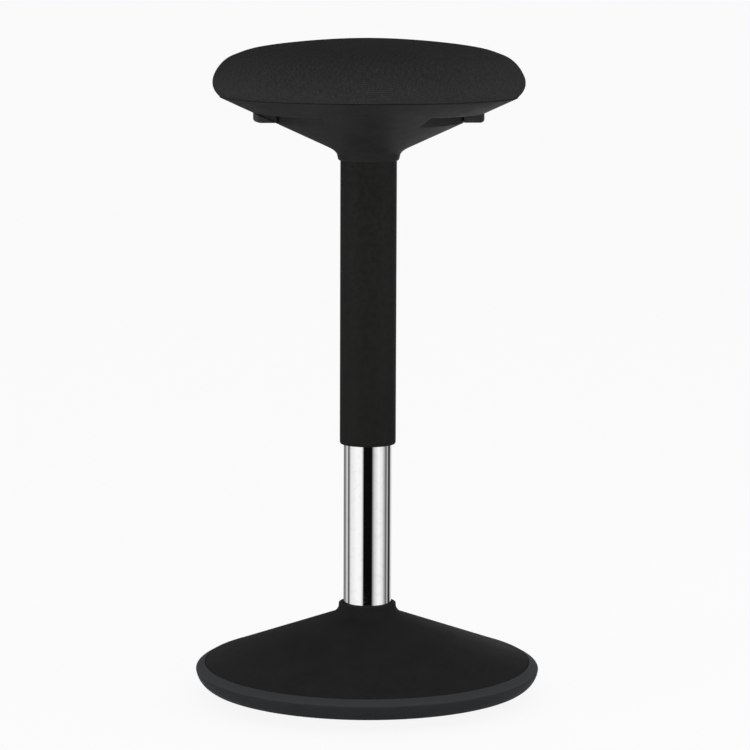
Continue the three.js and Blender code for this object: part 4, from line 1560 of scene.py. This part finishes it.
    def light(self, lamp: Lamp) -> None:
        """Adds one lamp, which the camera itself doesn't see.

        Args:
            lamp: The lamp.
        """
        data = bpy.data.lights.new(f"{lamp.name}_lamp", "AREA")
        data.energy, data.size = lamp.power, lamp.size
        piece = bpy.data.objects.new(data.name, data)
        piece.location = self.side(lamp.angle) * lamp.distance + Vector((0, 0, lamp.height))
        aim = Vector((0, 0, lamp.aim)) - piece.location
        piece.rotation_euler = aim.to_track_quat("-Z", "Y").to_euler()
        piece.visible_camera = False
        bpy.context.scene.collection.objects.link(piece)

    def brightness(self, angle: float) -> float:
        """Reads how bright the screen is between its stops.

        Args:
            angle: The angle, in degrees from the camera's side.

        Returns:
            Its brightness.
        """
        for (a0, b0), (a1, b1) in zip(self.screen_stops, self.screen_stops[1:]):
            if a0 <= angle <= a1:
                return b0 + (b1 - b0) * (angle - a0) / (a1 - a0)
        return self.screen_stops[-1][1]

    def screen(self) -> None:
        """Stands a graded screen round the stool, which shows only in reflections."""
        mesh = bmesh.new()
        foot = self.side(-180) * self.screen_radius
        ends = [mesh.verts.new(foot), mesh.verts.new(foot + Vector((0, 0, self.screen_height)))]
        edge = mesh.edges.new(ends)
        bmesh.ops.spin(mesh, geom=[*ends, edge], cent=(0, 0, 0), axis=(0, 0, 1), angle=ALL_ROUND,
                       steps=self.screen_steps)
        shade = mesh.verts.layers.float.new("shade")
        for vertex in mesh.verts:
            turn = math.degrees(math.atan2(vertex.co.x, -vertex.co.y)) - self.azimuth
            vertex[shade] = self.brightness((turn + 180) % 360 - 180)
        piece = to_object(mesh, "reflector")
        graph = Graph(bpy.data.materials.new("reflector_light"))
        level = graph.add("ShaderNodeAttribute", attribute_name="shade").outputs["Fac"]
        graph.add("ShaderNodeOutputMaterial", {"Surface": graph.glow(level)})
        piece.data.materials.append(graph.owner)
        piece.visible_camera = piece.visible_diffuse = False
        piece.visible_shadow = piece.visible_transmission = False

    def camera(self) -> None:
        """Places the camera at the photograph's angle."""
        data = bpy.data.cameras.new("camera")
        data.lens, data.sensor_width = self.lens, self.sensor
        camera = bpy.data.objects.new("camera", data)
        front = self.side(0)
        right = Vector((-front.y, front.x, 0))
        camera.location = front * self.distance + right * self.aside + Vector((0, 0, self.height))
        turns = ((self.azimuth, "Z"), (90 - self.pitch, "X"), (self.roll, "Z"))
        aim = Matrix.Identity(4)
        for angle, axis in turns:
            aim = aim @ Matrix.Rotation(math.radians(angle), 4, axis)
        camera.rotation_euler = aim.to_euler()
        bpy.context.scene.collection.objects.link(camera)
        bpy.context.scene.camera = camera


def dress_nodes(finishes: dict[Slot, Material]) -> None:
    """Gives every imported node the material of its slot.

    Args:
        finishes: The material of each slot.
    """
    for name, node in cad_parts.items():
        slot = Slot(node.material_slots[0].material.name)
        node.material_slots[0].material = finishes[slot]
        LOG.info("%s: %s, as packed", name, slot.value)


def main() -> None:
    """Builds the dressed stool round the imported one, and the studio round both."""
    logging.basicConfig(level=logging.INFO, format="%(message)s")
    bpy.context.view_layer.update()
    finishes = {finish.slot: finish.material() for finish in FINISHES}
    dress_nodes(finishes)
    # The seat cone and the levers get lighter copies of the moulded plastic, which is painted light.
    seat = {**finishes, Slot.MOULDED: LIT_SEAT_PLASTIC.material()}
    levers = {**finishes, Slot.MOULDED: LIT_LEVER_PLASTIC.material()}
    groups = (BaseAssembly(finishes), Column(finishes), SeatHousing(seat), Levers(levers), Cushion(finishes))
    for group in groups:
        group.build()
    Studio().build()


if __name__ == "__main__":
    main()
